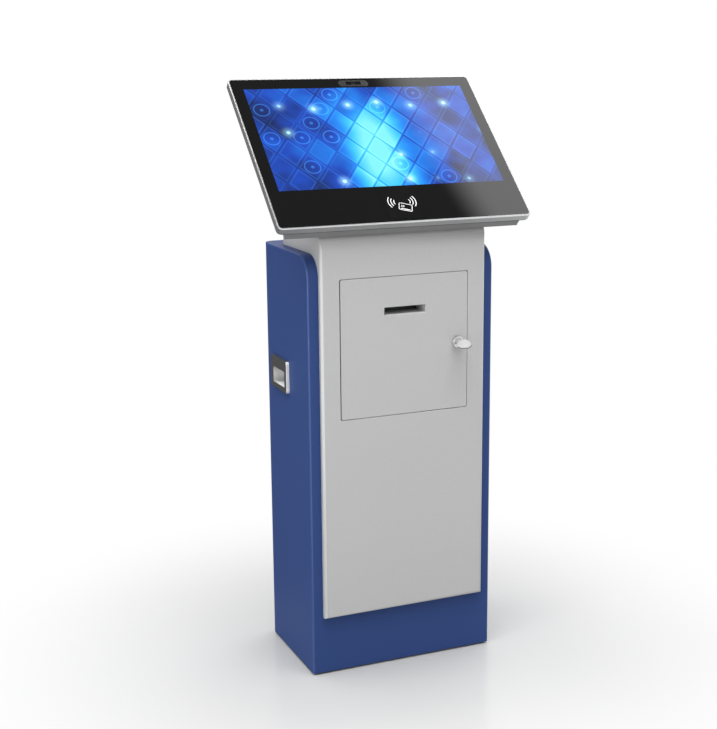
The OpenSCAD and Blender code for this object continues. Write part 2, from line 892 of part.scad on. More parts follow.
module head_frame() {
    inner_r = 3;
    camera_room = 1;
    camera_room_w = cam_plate_w + 2 * camera_room;
    camera_room_h = cam_ring_h + 2 * camera_room;
    color(frame_silver) placed() on_head() difference() {
        head_slab(head_w, 0, head_len, frame_r, -frame_t, 0);
        head_slab(glass_w, frame_lip, glass_y1, frame_r - frame_lip, glass_back, over);
        head_slab(head_w - 2 * frame_ledge, frame_ledge, head_len - frame_ledge, inner_r, -frame_t - over, 0);
        translate([0, camera_y, -frame_t / 2]) {
            cube([camera_room_w, camera_room_h, frame_t + 2 * over], center = true);
        }
        each_frame_screw() along_z(frame_screw_r + run_gap, -over, frame_screw_l);
    }
}

module touch_glass() {
    edge = frame_lip + fit_gap;
    hole_w = cam_plate_w + fit_gap;
    hole_h = cam_plate_h + fit_gap;
    color(glass_black) placed() on_head() difference() {
        head_slab(head_w - 2 * edge, edge, head_len - edge, frame_r - edge, glass_back, -glass_sink);
        translate([0, camera_y, 0]) {
            flat_slab(hole_w, hole_h, hole_h / 2 - joined, glass_back - over, over);
        }
    }
}

module lcd_panel() {
    corner_r = 2;
    y0 = lcd_y0 - lcd_margin;
    y1 = lcd_y1 + lcd_margin;
    color(screen_blue) placed() on_head() {
        head_slab(lcd_w + 2 * lcd_margin, y0, y1, corner_r, lcd_back, glass_back);
    }
}

module head_housing() {
    cable_r = 15;
    flange_back = -frame_t - housing_flange_t;
    color(cover_grey) placed() on_head() difference() {
        union() {
            housing_space(0, 0);
            head_slab(glass_w, frame_lip, glass_y1, frame_r - frame_lip, flange_back, -frame_t);
        }
        housing_space(sheet_t, over);
        each_frame_screw() along_z(frame_screw_r + run_gap, -housing_flange_t - over, over);
        each_head_screw() along_z(head_screw_r + run_gap, -over, sheet_t + over);
        translate([port_x, bracket_head_mid, -housing_depth]) along_z(cable_r, -over, sheet_t + over);
    }
}

module head_screws() {
    color(steel) placed() on_head() each_frame_screw() {
        translate([0, 0, -housing_flange_t]) screw(frame_screw_r, housing_flange_t + frame_screw_l - over);
    }
}

module camera_plate() {
    ring_t = 0.5;
    ring_r = 3;
    hole_w = cam_window_w + fit_gap;
    hole_h = cam_window_h + fit_gap;
    plate_top = -glass_sink - ring_t;
    color(dark_steel) placed() on_head() translate([0, camera_y, 0]) difference() {
        union() {
            flat_slab(cam_plate_w, cam_plate_h, cam_plate_h / 2 - joined, glass_back, plate_top);
            flat_slab(cam_ring_w, cam_ring_h, ring_r, glass_back, -glass_sink);
        }
        flat_slab(hole_w, hole_h, window_r + fit_gap / 2, glass_back - over, over);
    }
}

module camera_window() {
    window_t = 1;
    color(black_plastic) placed() on_head() translate([0, camera_y, 0]) {
        flat_slab(cam_window_w, cam_window_h, window_r, -glass_sink - 2 * window_t, -glass_sink - window_t);
    }
}

module camera_module() {
    body_d = 8;
    body_in = 2;
    corner_r = 1;
    barrel_in = 0.5;
    barrel_r = cam_window_h / 2 - barrel_in;
    barrel_h = 1;
    color(black_plastic) placed() on_head() translate([0, camera_y, 0]) {
        flat_slab(cam_plate_w - 2 * body_in, cam_ring_h - over, corner_r, glass_back - body_d, glass_back);
        along_z(barrel_r, glass_back - over, glass_back + barrel_h);
    }
}

module reader_pad() {
    corner_r = 3;
    color(black_plastic) placed() on_head() {
        head_slab(pad_w, pad_y0, pad_y1, corner_r, -glass_sink, pad_t - glass_sink);
    }
}

module reader_board() {
    board_t = 3;
    board_in = 4;
    coil_w = 16;
    corner_r = 2;
    board_w = pad_w - 2 * board_in;
    board_y0 = frame_ledge + over;
    board_y1 = lcd_y0 - lcd_margin - board_in;
    board_back = glass_back - board_t;
    hole_w = board_w - 2 * coil_w;
    hole_y0 = board_y0 + coil_w;
    hole_y1 = board_y1 - coil_w;
    color(board_green) placed() on_head() difference() {
        head_slab(board_w, board_y0, board_y1, corner_r, board_back, glass_back);
        head_slab(hole_w, hole_y0, hole_y1, corner_r, board_back - over, glass_back + over);
    }
}

module display_board() {
    board_w = 170;
    board_h = 110;
    board_t = 2;
    part_t = 9;
    part_h = board_h / 5;
    corner_r = 2;
    mid = (lcd_y0 + lcd_y1) / 2;
    color(board_green) placed() on_head() {
        head_slab(board_w, mid - board_h / 2, mid + board_h / 2, corner_r, lcd_back - board_t, lcd_back);
        for (i = [-1 : 1]) {
            translate([i * board_w / 4, 0, 0]) {
                head_slab(board_w / 6, mid - part_h, mid + part_h, corner_r, lcd_back - part_t, lcd_back);
            }
        }
    }
}

// Stands on the middle of the door's face
module at_door() {
    translate([0, cover_y, door_mid_z]) children();
}

module at_slot() {
    translate([0, cover_y, slot_mid_z]) children();
}

// The lock's axis, with y = 0 on the door's face
module at_lock() {
    translate([lock_x, cover_y, lock_z]) children();
}

module service_door() {
    fold_r = door_r - 1;
    color(cover_grey) placed() difference() {
        at_door() difference() {
            front_slab(door_w, door_h, door_r, 0, door_depth);
            front_slab(door_w - 2 * sheet_t, door_h - 2 * sheet_t, fold_r, sheet_t, door_depth + over);
        }
        at_slot() front_slab(slot_w, slot_h, slot_r, -over, sheet_t + over);
        at_lock() along_y(lock_body_r + run_gap, -over, sheet_t + over);
        translate([hinge_x, hinge_y, door_z0]) along_z(hinge_pin_r + run_gap, -over, door_h + over);
    }
}

// Straight duct behind the slot, from y0 to y1 behind the door's face
module slot_tube(y0, y1) {
    difference() {
        front_slab(slot_w + 2 * chute_wall, slot_h + 2 * chute_wall, 2 * slot_r, y0, y1);
        front_slab(slot_w, slot_h, slot_r, y0 - over, y1 + over);
    }
}

module slot_duct() {
    color(cover_grey) placed() at_slot() slot_tube(sheet_t, duct_depth);
}

module paper_chute() {
    color(black_plastic) placed() at_slot() slot_tube(duct_depth, duct_depth + chute_depth);
}

// Places above and below the door where its pins are held
module each_hinge() {
    translate([hinge_x, hinge_y, door_z0 + door_h]) children();
    translate([hinge_x, hinge_y, door_z0]) mirror([0, 0, 1]) children();
}

module hinge_brackets() {
    block_w = 22;
    block_wall = 3;
    block_play = 0.5;
    block_d = hinge_y + hinge_pin_r + block_wall - cover_back;
    color(steel) placed() each_hinge() difference() {
        translate([-block_w / 2, cover_back - hinge_y, panel_gap + block_play]) {
            cube([block_w, block_d, hinge_block_h]);
        }
        along_z(hinge_pin_r + run_gap, 0, panel_gap + hinge_block_h + 2 * over);
    }
}

module hinge_pins() {
    pin_in = 6;
    color(steel) placed() each_hinge() along_z(hinge_pin_r, -pin_in, panel_gap + hinge_block_h);
}

module strike_plate() {
    strike_gap = 0.5;
    strike_d = cam_y0 - strike_gap - sheet_t;
    color(steel) placed() translate([strike_x0, cover_back, lock_z - strike_h / 2]) {
        cube([strike_w, strike_d, strike_h]);
    }
}

module lock_barrel() {
    color(steel) placed() at_lock() difference() {
        union() {
            along_y(lock_rim_r, -lock_proud, 0);
            along_y(lock_body_r, -lock_proud / 2, lock_body_d);
        }
        along_y(plug_r + run_gap, -lock_proud - over, lock_body_d + over);
    }
}

module lock_nut() {
    nut_t = 4;
    nut_wall = 4;
    color(steel) placed() at_lock() difference() {
        translate([0, sheet_t, 0]) rotate([-90, 0, 0]) {
            cylinder(r = lock_body_r + nut_wall, h = nut_t, $fn = 6);
        }
        along_y(lock_body_r + run_gap, sheet_t - over, sheet_t + nut_t + over);
    }
}

module lock_plug() {
    way_w = key_blade_w + 2 * fit_gap;
    way_t = key_t + 2 * fit_gap;
    color(steel) placed() at_lock() difference() {
        along_y(plug_r, plug_face, cam_y0);
        rotate([0, -key_angle, 0]) translate([-way_w / 2, plug_face - over, -way_t / 2]) {
            cube([way_w, key_depth + over + fit_gap, way_t]);
        }
        along_y(cam_screw_r + run_gap, cam_y0 - cam_screw_l, cam_y0 + over);
    }
}

module lock_cam() {
    boss = 1;
    color(steel) placed() at_lock() difference() {
        translate([0, cam_y0 + cam_t, 0]) rotate([90, 0, 0]) linear_extrude(cam_t) {
            circle(cam_w / 2 + boss);
            translate([-cam_w / 2, -cam_len]) square([cam_w, cam_len]);
        }
        along_y(cam_screw_r + run_gap, cam_y0 - over, cam_y0 + cam_t + over);
    }
}

module cam_screw() {
    color(steel) placed() at_lock() translate([0, cam_y0 + cam_t, 0]) {
        rotate([90, 0, 0]) screw(cam_screw_r, cam_t + cam_screw_l - over);
    }
}

module key() {
    half = key_blade_w / 2;
    bow = key_bow_w / 2;
    face = -lock_proud - key_play;
    tip = -lock_proud - key_reach;
    shoulder = face - 0.22 * key_reach;
    crown = face - 0.6 * key_reach;
    blade_end = plug_face + key_depth - over;
    color(steel) placed() at_lock() rotate([0, -key_angle, 0]) linear_extrude(key_t, center = true) polygon([
        [half, blade_end],
        [half, face],
        [bow, shoulder],
        [bow, crown],
        [half, tip],
        [-half, tip],
        [-bow, crown],
        [-bow, shoulder],
        [-half, face],
        [-half, blade_end]
    ]);
}

// Flush handle of one side, drawn outwards from the cabinet's side
module handle(side) {
    plate_r = 6;
    grip_r = 2;
    cup_r = 3;
    turn = side > 0 ? 0 : 180;
    grip_x = handle_proud - grip_depth;
    color(dark_steel) placed() translate([side * cab_w / 2, handle_y, handle_z]) rotate([0, 0, turn]) {
        difference() {
            union() {
                side_slab(handle_w, handle_h, plate_r, 0, handle_proud);
                translate([0, 0, -grip_drop]) {
                    side_slab(cup_w, cup_h, cup_r, grip_x - grip_wall, handle_proud / 2);
                }
            }
            translate([0, 0, -grip_drop]) side_slab(grip_w, grip_h, grip_r, grip_x, handle_proud + over);
        }
    }
}

module shelf() {
    duct_cut_y = duct_d + 2 * duct_gap;
    color(steel) placed() difference() {
        union() {
            translate([-inner_x, shelf_y0, shelf_z0]) cube([2 * inner_x, shelf_y1 - shelf_y0, sheet_t]);
            for (y = [shelf_y0, shelf_y1 - sheet_t]) {
                translate([-inner_x, y, shelf_z0 - shelf_lip]) {
                    cube([2 * inner_x, sheet_t, shelf_lip + sheet_t]);
                }
            }
        }
        translate([inner_x - duct_w - duct_gap, duct_y0 - duct_gap, shelf_z0 - over]) {
            cube([duct_w + duct_gap + over, duct_cut_y, sheet_t + 2 * over]);
        }
    }
}

// Stands on the shelf at the front of the printer
module at_printer() {
    translate([0, printer_y0, printer_z0]) children();
}

module printer_body() {
    chamber_r = platen_r + roll_side;
    exit_h = 5;
    color(casing_grey) placed() at_printer() difference() {
        union() {
            difference() {
                translate([-printer_w / 2, 0, 0]) cube([printer_w, printer_d, printer_h]);
                translate([-bay_half, bay_y0, bay_z0]) {
                    cube([2 * bay_half, bay_y1 - bay_y0, printer_h - bay_z0 + over]);
                }
                translate([0, platen_y, platen_z]) along_x(chamber_r, -bay_half, bay_half);
                translate([-bay_half, -over, paper_exit_h - exit_h / 2]) {
                    cube([2 * bay_half, bay_y0 + 2 * over, exit_h]);
                }
            }
            // Lugs that hold the lid's pin
            for (s = [-1, 1]) translate([s * (printer_w / 2 - lid_lug_w / 2), lid_pin_y, 0]) {
                translate([0, 0, lid_pin_z]) along_x(lid_lug_r, -lid_lug_w / 2, lid_lug_w / 2);
                translate([-lid_lug_w / 2, -lid_lug_r, printer_h - over]) {
                    cube([lid_lug_w, 2 * lid_lug_r, lid_pin_z - printer_h + over]);
                }
            }
        }
        translate([0, lid_pin_y, lid_pin_z]) along_x(lid_pin_r + run_gap, -printer_w, printer_w);
        translate([0, platen_y, platen_z]) {
            along_x(platen_axle_r + run_gap, -bay_half - printer_wall - over, bay_half + printer_wall + over);
        }
        translate([0, roll_y, roll_z]) {
            along_x(spindle_r + run_gap, -bay_half - printer_wall, bay_half + printer_wall);
        }
    }
}

module paper_spindle() {
    color(steel) placed() at_printer() translate([0, roll_y, roll_z]) {
        along_x(spindle_r, -bay_half - printer_wall, bay_half + printer_wall);
    }
}

module paper_roll() {
    color(paper_white) placed() at_printer() translate([0, roll_y, roll_z]) difference() {
        along_x(roll_r, -roll_w / 2, roll_w / 2);
        along_x(spindle_r + run_gap, -roll_w / 2 - over, roll_w / 2 + over);
    }
}

module platen_roller() {
    color(black_plastic) placed() at_printer() translate([0, platen_y, platen_z]) {
        along_x(platen_r, fit_gap - roll_w / 2, roll_w / 2 - fit_gap);
        along_x(platen_axle_r, -bay_half - printer_wall, bay_half + printer_wall);
    }
}

module printer_lid() {
    lug_in = printer_w / 2 - lid_lug_w - fit_gap;
    front_lap = 6;
    tongue = 2;
    front_y = bay_y0 - front_lap;
    color(casing_grey) placed() at_printer() difference() {
        union() {
            translate([-printer_w / 2, front_y, printer_h + lid_gap]) {
                cube([printer_w, lid_pin_y - lid_lug_r - fit_gap - front_y - over, lid_t]);
            }
            translate([-lug_in, lid_pin_y - lid_lug_r - tongue, printer_h + lid_gap]) {
                cube([2 * lug_in, lid_lug_r + tongue, lid_t]);
            }
            translate([0, lid_pin_y, lid_pin_z]) along_x(lid_lug_r - over, -lug_in, lug_in);
        }
        translate([0, lid_pin_y, lid_pin_z]) along_x(lid_pin_r + run_gap, -printer_w, printer_w);
    }
}

module lid_pin() {
    color(steel) placed() at_printer() translate([0, lid_pin_y, lid_pin_z]) {
        along_x(lid_pin_r, -printer_w / 2, printer_w / 2);
    }
}

module mini_pc() {
    pc_w = 180;
    pc_d = 110;
    pc_h = 42;
    pc_y = 50;
    corner_r = 6;
    fins = 12;
    groove_w = 4;
    groove_d = 5;
    groove_end = 12;
    color(black_plastic) placed() translate([0, pc_y + pc_d / 2, base_z]) difference() {
        flat_slab(pc_w, pc_d, corner_r, 0, pc_h);
        for (i = [0 : fins - 1]) {
            x = (i - (fins - 1) / 2) * pc_w / (fins + 2);
            translate([x - groove_w / 2, groove_end - pc_d / 2, pc_h - groove_d]) {
                cube([groove_w, pc_d - 2 * groove_end, groove_d + over]);
            }
        }
    }
}

module power_supply() {
    psu_w = 150;
    psu_d = 50;
    psu_h = 40;
    psu_y = 170;
    psu_x = 20;
    corner_r = 1;
    holes = 8;
    hole_r = 4;
    hole_d = 3;
    color(steel) placed() translate([psu_x, psu_y + psu_d / 2, base_z]) difference() {
        flat_slab(psu_w, psu_d, corner_r, 0, psu_h);
        for (i = [0 : holes - 1]) {
            translate([(i - (holes - 1) / 2) * psu_w / (holes + 1), 0, 0]) {
                along_z(hole_r, psu_h - hole_d, psu_h + over);
            }
        }
    }
}

module fan_housing() {
    struts = 3;
    strut_w = 4;
    corner_r = 4;
    color(black_plastic) placed() translate([0, 0, fan_z]) {
        difference() {
            front_slab(fan_size, fan_size, corner_r, fan_y0, cab_d);
            along_y(fan_duct_r, fan_y0 - over, cab_d + over);
        }
        intersection() {
            union() {
                along_y(fan_hub_r, fan_y0, fan_y0 + fan_back_t);
                for (i = [0 : struts - 1]) rotate([0, i * 360 / struts, 0]) {
                    translate([0, fan_y0, -strut_w / 2]) cube([fan_size, fan_back_t, strut_w]);
                }
            }
            along_y(fan_duct_r + fan_wall / 2, fan_y0, cab_d);
        }
        along_y(fan_axle_r, fan_y0, cab_d - fan_end_gap);
    }
}

module fan_rotor() {
    blade_t = 1.6;
    blade_w = fan_size * 0.2;
    blade_gap = 3;
    blade_r = fan_duct_r - blade_gap;
    blade_in = 1;
    pitch = 35;
    y0 = fan_y0 + fan_back_t + fit_gap;
    y1 = cab_d - fan_end_gap;
    color(black_plastic) placed() translate([0, 0, fan_z]) difference() {
        union() {
            along_y(fan_hub_r, y0, y1);
            for (i = [0 : fan_blades - 1]) rotate([0, i * 360 / fan_blades, 0]) {
                translate([(fan_hub_r - blade_in + blade_r) / 2, (y0 + y1) / 2, 0]) rotate([pitch, 0, 0]) {
                    cube([blade_r - fan_hub_r + blade_in, blade_t, blade_w], center = true);
                }
            }
        }
        along_y(fan_axle_r + run_gap, y0 - over, y1 + over);
    }
}

module inlet_body() {
    socket_w = 24;
    socket_h = 17;
    socket_x = -14;
    socket_d = 19;
    pin_l = 13;
    pin_w = 2;
    pin_h = 4;
    pin_dx = 6;
    pin_dz = 3;
    corner_r = 3;
    pocket_gap = 1.2;
    pocket_d = 16;
    pocket_h = 2 * (rocker_r + pocket_gap);
    face_y = cab_d + inlet_flange_t;
    body_w = inlet_w - 2 * inlet_rim - 2 * fit_gap;
    body_h = inlet_h - 2 * inlet_rim - 2 * fit_gap;
    color(black_plastic) placed() translate([inlet_x, 0, inlet_z]) {
        difference() {
            union() {
                front_slab(inlet_w, inlet_h, corner_r, cab_d, face_y);
                translate([-body_w / 2, cab_d - inlet_depth, -body_h / 2]) {
                    cube([body_w, inlet_depth + joined, body_h]);
                }
            }
            translate([socket_x - socket_w / 2, face_y - socket_d, -socket_h / 2]) {
                cube([socket_w, socket_d + over, socket_h]);
            }
            translate([rocker_x - rocker_w / 2 - fit_gap, face_y - pocket_d, -pocket_h / 2]) {
                cube([rocker_w + 2 * fit_gap, pocket_d + over, pocket_h]);
            }
            translate([rocker_x, rocker_y, 0]) {
                along_x(rocker_pin_r + run_gap, -rocker_w / 2 - rocker_pin_l, rocker_w / 2 + rocker_pin_l);
            }
        }
        for (i = [-1 : 1]) {
            z = (2 * abs(i) - 1) * pin_dz;
            translate([socket_x + i * pin_dx - pin_w / 2, face_y - socket_d - joined, z - pin_h / 2]) {
                cube([pin_w, pin_l, pin_h]);
            }
        }
    }
}

module power_rocker() {
    depth = 5;
    dip = 1.5;
    face = 4.5;
    toe = 3;
    pin_end = rocker_w / 2 + rocker_pin_l - fit_gap;
    color(black_plastic) placed() translate([inlet_x + rocker_x, rocker_y, inlet_z]) {
        rotate([rocker_tilt, 0, 0]) {
            across(rocker_w) polygon([
                [face + dip, -rocker_r],
                [face, 0],
                [face + dip, rocker_r],
                [0, rocker_r],
                [-depth, toe],
                [-depth, -toe],
                [0, -rocker_r]
            ]);
            along_x(rocker_pin_r, -pin_end, pin_end);
        }
    }
}

module cable_duct() {
    wall = 1.5;
    above_base = 50;
    below_top = 10;
    z0 = base_z + above_base;
    z1 = cab_h - cab_top_r - below_top;
    color(black_plastic) placed() difference() {
        translate([inner_x - duct_w, duct_y0, z0]) cube([duct_w, duct_d, z1 - z0]);
        translate([inner_x - duct_w + wall, duct_y0 + wall, z0 - over]) {
            cube([duct_w - 2 * wall, duct_d - 2 * wall, z1 - z0 + 2 * over]);
        }
    }
}

base_plate();
side_panel(-1);  // side_panel_left
side_panel(1);  // side_panel_right
front_wrap();
rear_frame();
rear_cover();
rear_cover_screws();
front_cover();
cover_screws();
neck_back();
head_bracket();
bracket_screws();
head_frame();
touch_glass();
lcd_panel();
head_housing();
head_screws();
camera_plate();
camera_window();
camera_module();
reader_pad();
reader_board();
display_board();
hinge_brackets();
hinge_pins();
strike_plate();
shelf();
printer_body();
paper_spindle();
lid_pin();
mini_pc();
power_supply();
fan_housing();
inlet_body();
cable_duct();
handle(-1);  // handle_left
handle(1);  // handle_right
foot_nuts();
service_door();
slot_duct();
paper_chute();
lock_barrel();
lock_nut();
lock_plug();
lock_cam();
cam_screw();
key();
printer_lid();
platen_roller();
paper_roll();
fan_rotor();
power_rocker();
foot(-foot_x, foot_y_front);  // foot_front_left
foot(foot_x, foot_y_front);  // foot_front_right
foot(-foot_x, foot_y_rear);  // foot_rear_left
foot(foot_x, foot_y_rear);  // foot_rear_right
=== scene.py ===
"""Dresses the check-in kiosk: rounded edges, finishes, the lit picture, the reader's sign and the studio."""
import json
import math

import bmesh
import bpy
from mathutils import Matrix, Vector


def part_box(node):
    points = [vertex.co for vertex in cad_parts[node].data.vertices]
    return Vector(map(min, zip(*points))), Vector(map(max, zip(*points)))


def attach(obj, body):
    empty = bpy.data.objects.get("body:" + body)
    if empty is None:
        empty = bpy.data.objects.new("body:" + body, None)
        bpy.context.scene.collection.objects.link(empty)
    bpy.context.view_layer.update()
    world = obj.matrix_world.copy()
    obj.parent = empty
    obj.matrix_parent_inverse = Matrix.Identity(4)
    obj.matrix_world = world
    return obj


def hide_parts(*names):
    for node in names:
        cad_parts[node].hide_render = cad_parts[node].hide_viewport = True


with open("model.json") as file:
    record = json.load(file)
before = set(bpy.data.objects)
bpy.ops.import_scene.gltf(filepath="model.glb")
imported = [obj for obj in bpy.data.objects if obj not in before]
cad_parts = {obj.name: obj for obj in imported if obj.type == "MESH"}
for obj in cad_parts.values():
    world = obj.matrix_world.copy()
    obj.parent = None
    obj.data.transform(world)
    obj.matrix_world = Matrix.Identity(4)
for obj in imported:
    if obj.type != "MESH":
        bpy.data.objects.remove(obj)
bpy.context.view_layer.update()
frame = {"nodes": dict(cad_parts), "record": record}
nodes = frame["nodes"]
record = frame["record"]
body_of_node = {
    node: body for body, members in record["behaviour"]["bodies"].items() for node in members
}
slot_of_node = {part["node"]: part["material_slot"] for part in record["subparts"]}
bpy.context.scene.view_settings.view_transform = "Standard"

MM = 0.001
WHITE = (1, 1, 1)

# Screen head, measured up the slope from the frame's lower edge and out of the glass
SCREEN_TILT = math.radians(43)
FRAME_LENGTH = 390 * MM
FRAME_DEPTH = 14 * MM
FRAME_LIP = 3 * MM
GLASS_BESIDE = 24 * MM
GLASS_ABOVE = 26 * MM
GLASS_BELOW = 90 * MM
frame_lo, frame_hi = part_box("head_frame")
head_y = frame_lo.y
head_z = frame_hi.z - FRAME_LENGTH * math.sin(SCREEN_TILT)
on_head = Matrix.Translation((0, head_y, head_z)) @ Matrix.Rotation(SCREEN_TILT, 4, "X")
off_head = on_head.inverted()
# Edges of the lit picture on the slope
picture_half = frame_hi.x - FRAME_LIP - GLASS_BESIDE
picture_low = FRAME_LIP + GLASS_BELOW
picture_high = FRAME_LENGTH - FRAME_LIP - GLASS_ABOVE
# Cup of a side handle, about the middle of its plate
CUP_HALF_WIDE = 34.5 * MM
CUP_HALF_HIGH = 17 * MM
CUP_DROP = 6 * MM


class Wire:
    """A shader socket. Arithmetic adds Math nodes, or Vector Math nodes for a vector or a colour."""

    def __init__(self, finish, socket):
        self.finish = finish
        self.socket = socket

    @staticmethod
    def is_vector(value):
        return isinstance(value, tuple) or isinstance(value, Wire) and value.socket.type in {"VECTOR", "RGBA"}

    def maths(self, operation, first, second):
        vectors = [value for value in (first, second) if self.is_vector(value)]
        if not vectors:
            return self.finish.node("Math", {"operation": operation}, {0: first, 1: second})
        if operation == "MULTIPLY" and len(vectors) == 1:
            number = second if vectors[0] is first else first
            sockets = {"Vector": vectors[0], "Scale": number}
            return self.finish.node("VectorMath", {"operation": "SCALE"}, sockets)
        return self.finish.node("VectorMath", {"operation": operation}, {0: first, 1: second})

    def __add__(self, other):
        return self.maths("ADD", self, other)

    def __radd__(self, other):
        return self.maths("ADD", other, self)

    def __sub__(self, other):
        return self.maths("SUBTRACT", self, other)

    def __rsub__(self, other):
        return self.maths("SUBTRACT", other, self)

    def __mul__(self, other):
        return self.maths("MULTIPLY", self, other)

    def __rmul__(self, other):
        return self.maths("MULTIPLY", other, self)

    def __truediv__(self, other):
        return self.maths("DIVIDE", self, other)

    def __rtruediv__(self, other):
        return self.maths("DIVIDE", other, self)

    def __pow__(self, other):
        return self.maths("POWER", self, other)

    def __gt__(self, other):
        return self.maths("GREATER_THAN", self, other)

    def __abs__(self):
        return self.finish.node("Math", {"operation": "ABSOLUTE"}, {0: self})

    def floor(self):
        return self.finish.node("Math", {"operation": "FLOOR"}, {0: self})

    def root(self):
        return self.finish.node("Math", {"operation": "SQRT"}, {0: self})

    def least(self, other):
        return self.maths("MINIMUM", self, other)

    def most(self, other):
        return self.maths("MAXIMUM", self, other)

    def ease(self, low, high):
        """Rises smoothly from 0 at low to 1 at high, or falls where low is the larger."""
        return self.finish.node("MapRange", {"interpolation_type": "SMOOTHSTEP"},
                                {"Value": self, "From Min": low, "From Max": high})

    def swing(self, span):
        """Turns a noise between 0 and 1 into one about zero, span wide."""
        return (self - 0.5) * span

    def parts(self):
        return tuple(self.finish.node("SeparateXYZ", {}, {"Vector": self}, out=axis) for axis in "XYZ")


class Finish:
    """The nodes of one material, or of the world or a lamp."""

    def __init__(self, tree):
        self.tree = tree
        tree.nodes.clear()

    def node(self, kind, settings, values, out=0):
        """Adds a node: its settings first, then the values or links of its sockets, and gives one output."""
        made = self.tree.nodes.new("ShaderNode" + kind)
        for name, value in settings.items():
            if name == "stops":
                for _ in value[2:]:
                    made.color_ramp.elements.new(0.5)
                for stop, (place, colour) in zip(made.color_ramp.elements, value):
                    stop.position = place
                    stop.color = colour
            else:
                setattr(made, name, value)
        for name, value in values.items():
            socket = made.inputs[name] if isinstance(name, int) else self.named(made.inputs, name)
            if isinstance(value, Wire):
                self.tree.links.new(value.socket, socket)
            elif isinstance(value, tuple) and socket.type == "RGBA" and len(value) == 3:
                socket.default_value = (*value, 1)
            else:
                socket.default_value = value
        outputs = made.outputs
        if not len(outputs):
            return None
        return Wire(self, outputs[out] if isinstance(out, int) else self.named(outputs, out))

    @staticmethod
    def named(sockets, name):
        """A socket by its identifier, or else by the name it shows."""
        for socket in sockets:
            if socket.identifier == name:
                return socket
        return next(socket for socket in sockets if socket.name == name and socket.enabled)

    def place(self):
        """The place on the piece, in metres."""
        return self.node("TexCoord", {}, {}, out="Object")

    def noise(self, scale, detail, stretch=None):
        """Noise over the piece, drawn out along the axes where stretch is small."""
        where = self.place()
        if stretch:
            where = where * stretch
        return self.node("TexNoise", {}, {"Vector": where, "Scale": scale, "Detail": detail}, out="Fac")

    def mix(self, amount, first, second):
        return self.node("Mix", {"data_type": "RGBA"},
                         {"Factor_Float": amount, "A_Color": first, "B_Color": second}, out="Result_Color")

    def bump(self, height, distance):
        return self.node("Bump", {}, {"Height": height, "Distance": distance}, out="Normal")

    def surface(self, values):
        shader = self.node("BsdfPrincipled", {}, values, out="BSDF")
        self.node("OutputMaterial", {}, {"Surface": shader})


def material(name):
    made = bpy.data.materials.new(name)
    made.use_nodes = True
    return made, Finish(made.node_tree)


def shade(colour, amount):
    return tuple(channel * amount for channel in colour)


def powder_coat(name, colour, roughness, gloss, speckle, coat=0.0):
    """Baked powder paint: a fine orange peel, lighter and darker flakes, and a sheen that drifts."""
    made, f = material(name)
    flakes = f.noise(620, 3)
    drift = f.noise(3.2, 2)
    peel = f.noise(900, 2)
    peel_height = 0.12 * MM
    f.surface({
        "Base Color": (1 + flakes.swing(speckle) + drift.swing(0.05)) * colour,
        "Roughness": roughness + flakes.swing(0.12) + drift.swing(0.06),
        "Specular IOR Level": gloss,
        "Coat Weight": coat,
        "Coat Roughness": 0.22,
        "Normal": f.bump(peel, peel_height),
    })
    return made


def anodised(name, colour, roughness):
    """Anodised aluminium, drawn along its length."""
    made, f = material(name)
    lines = f.noise(900, 3, stretch=(0.02, 1, 1))
    cloud = f.noise(14, 2)
    line_height = 0.03 * MM
    f.surface({
        "Base Color": (1 + lines.swing(0.14) + cloud.swing(0.06)) * colour,
        "Metallic": 0.85,
        "Roughness": roughness + lines.swing(0.16),
        "Normal": f.bump(lines, line_height),
    })
    return made


def satin_steel(name, colour, roughness, metal=0.92):
    """Satin plated metal with faint clouds and a fine even grain."""
    made, f = material(name)
    cloud = f.noise(60, 3)
    grain = f.noise(2400, 2)
    grain_height = 0.01 * MM
    f.surface({
        "Base Color": f.mix(cloud.ease(0.3, 0.8), colour, shade(colour, 0.86)),
        "Metallic": metal,
        "Roughness": roughness + cloud.swing(0.14) + grain.swing(0.08),
        "Normal": f.bump(grain, grain_height),
    })
    return made


def zinc_sheet(name, colour):
    """Galvanised sheet with its crystal flakes."""
    made, f = material(name)
    flake = f.node("TexVoronoi", {"feature": "F1"}, {"Vector": f.place(), "Scale": 90.0}, out="Color")
    shine = flake.parts()[0]
    f.surface({
        "Base Color": f.mix(shine, shade(colour, 0.75), shade(colour, 1.15)),
        "Metallic": 0.9,
        "Roughness": 0.34 + shine * 0.22,
    })
    return made


def moulded(name, colour, roughness):
    """Moulded plastic with a spark-eroded grain."""
    made, f = material(name)
    grain = f.noise(1500, 3)
    cloud = f.noise(24, 2)
    grain_height = 0.08 * MM
    f.surface({
        "Base Color": f.mix(cloud, shade(colour, 0.85), shade(colour, 1.2)),
        "Roughness": roughness + grain.swing(0.2),
        "Normal": f.bump(grain, grain_height),
    })
    return made


def rubber():
    """Matt black rubber with paper dust on it."""
    made, f = material("roller_rubber")
    dust = f.noise(180, 4)
    dust_height = 0.06 * MM
    f.surface({
        "Base Color": f.mix(dust.ease(0.5, 0.8), (0.018, 0.018, 0.018), (0.07, 0.07, 0.068)),
        "Roughness": 0.7 + dust.swing(0.2),
        "Normal": f.bump(dust, dust_height),
    })
    return made


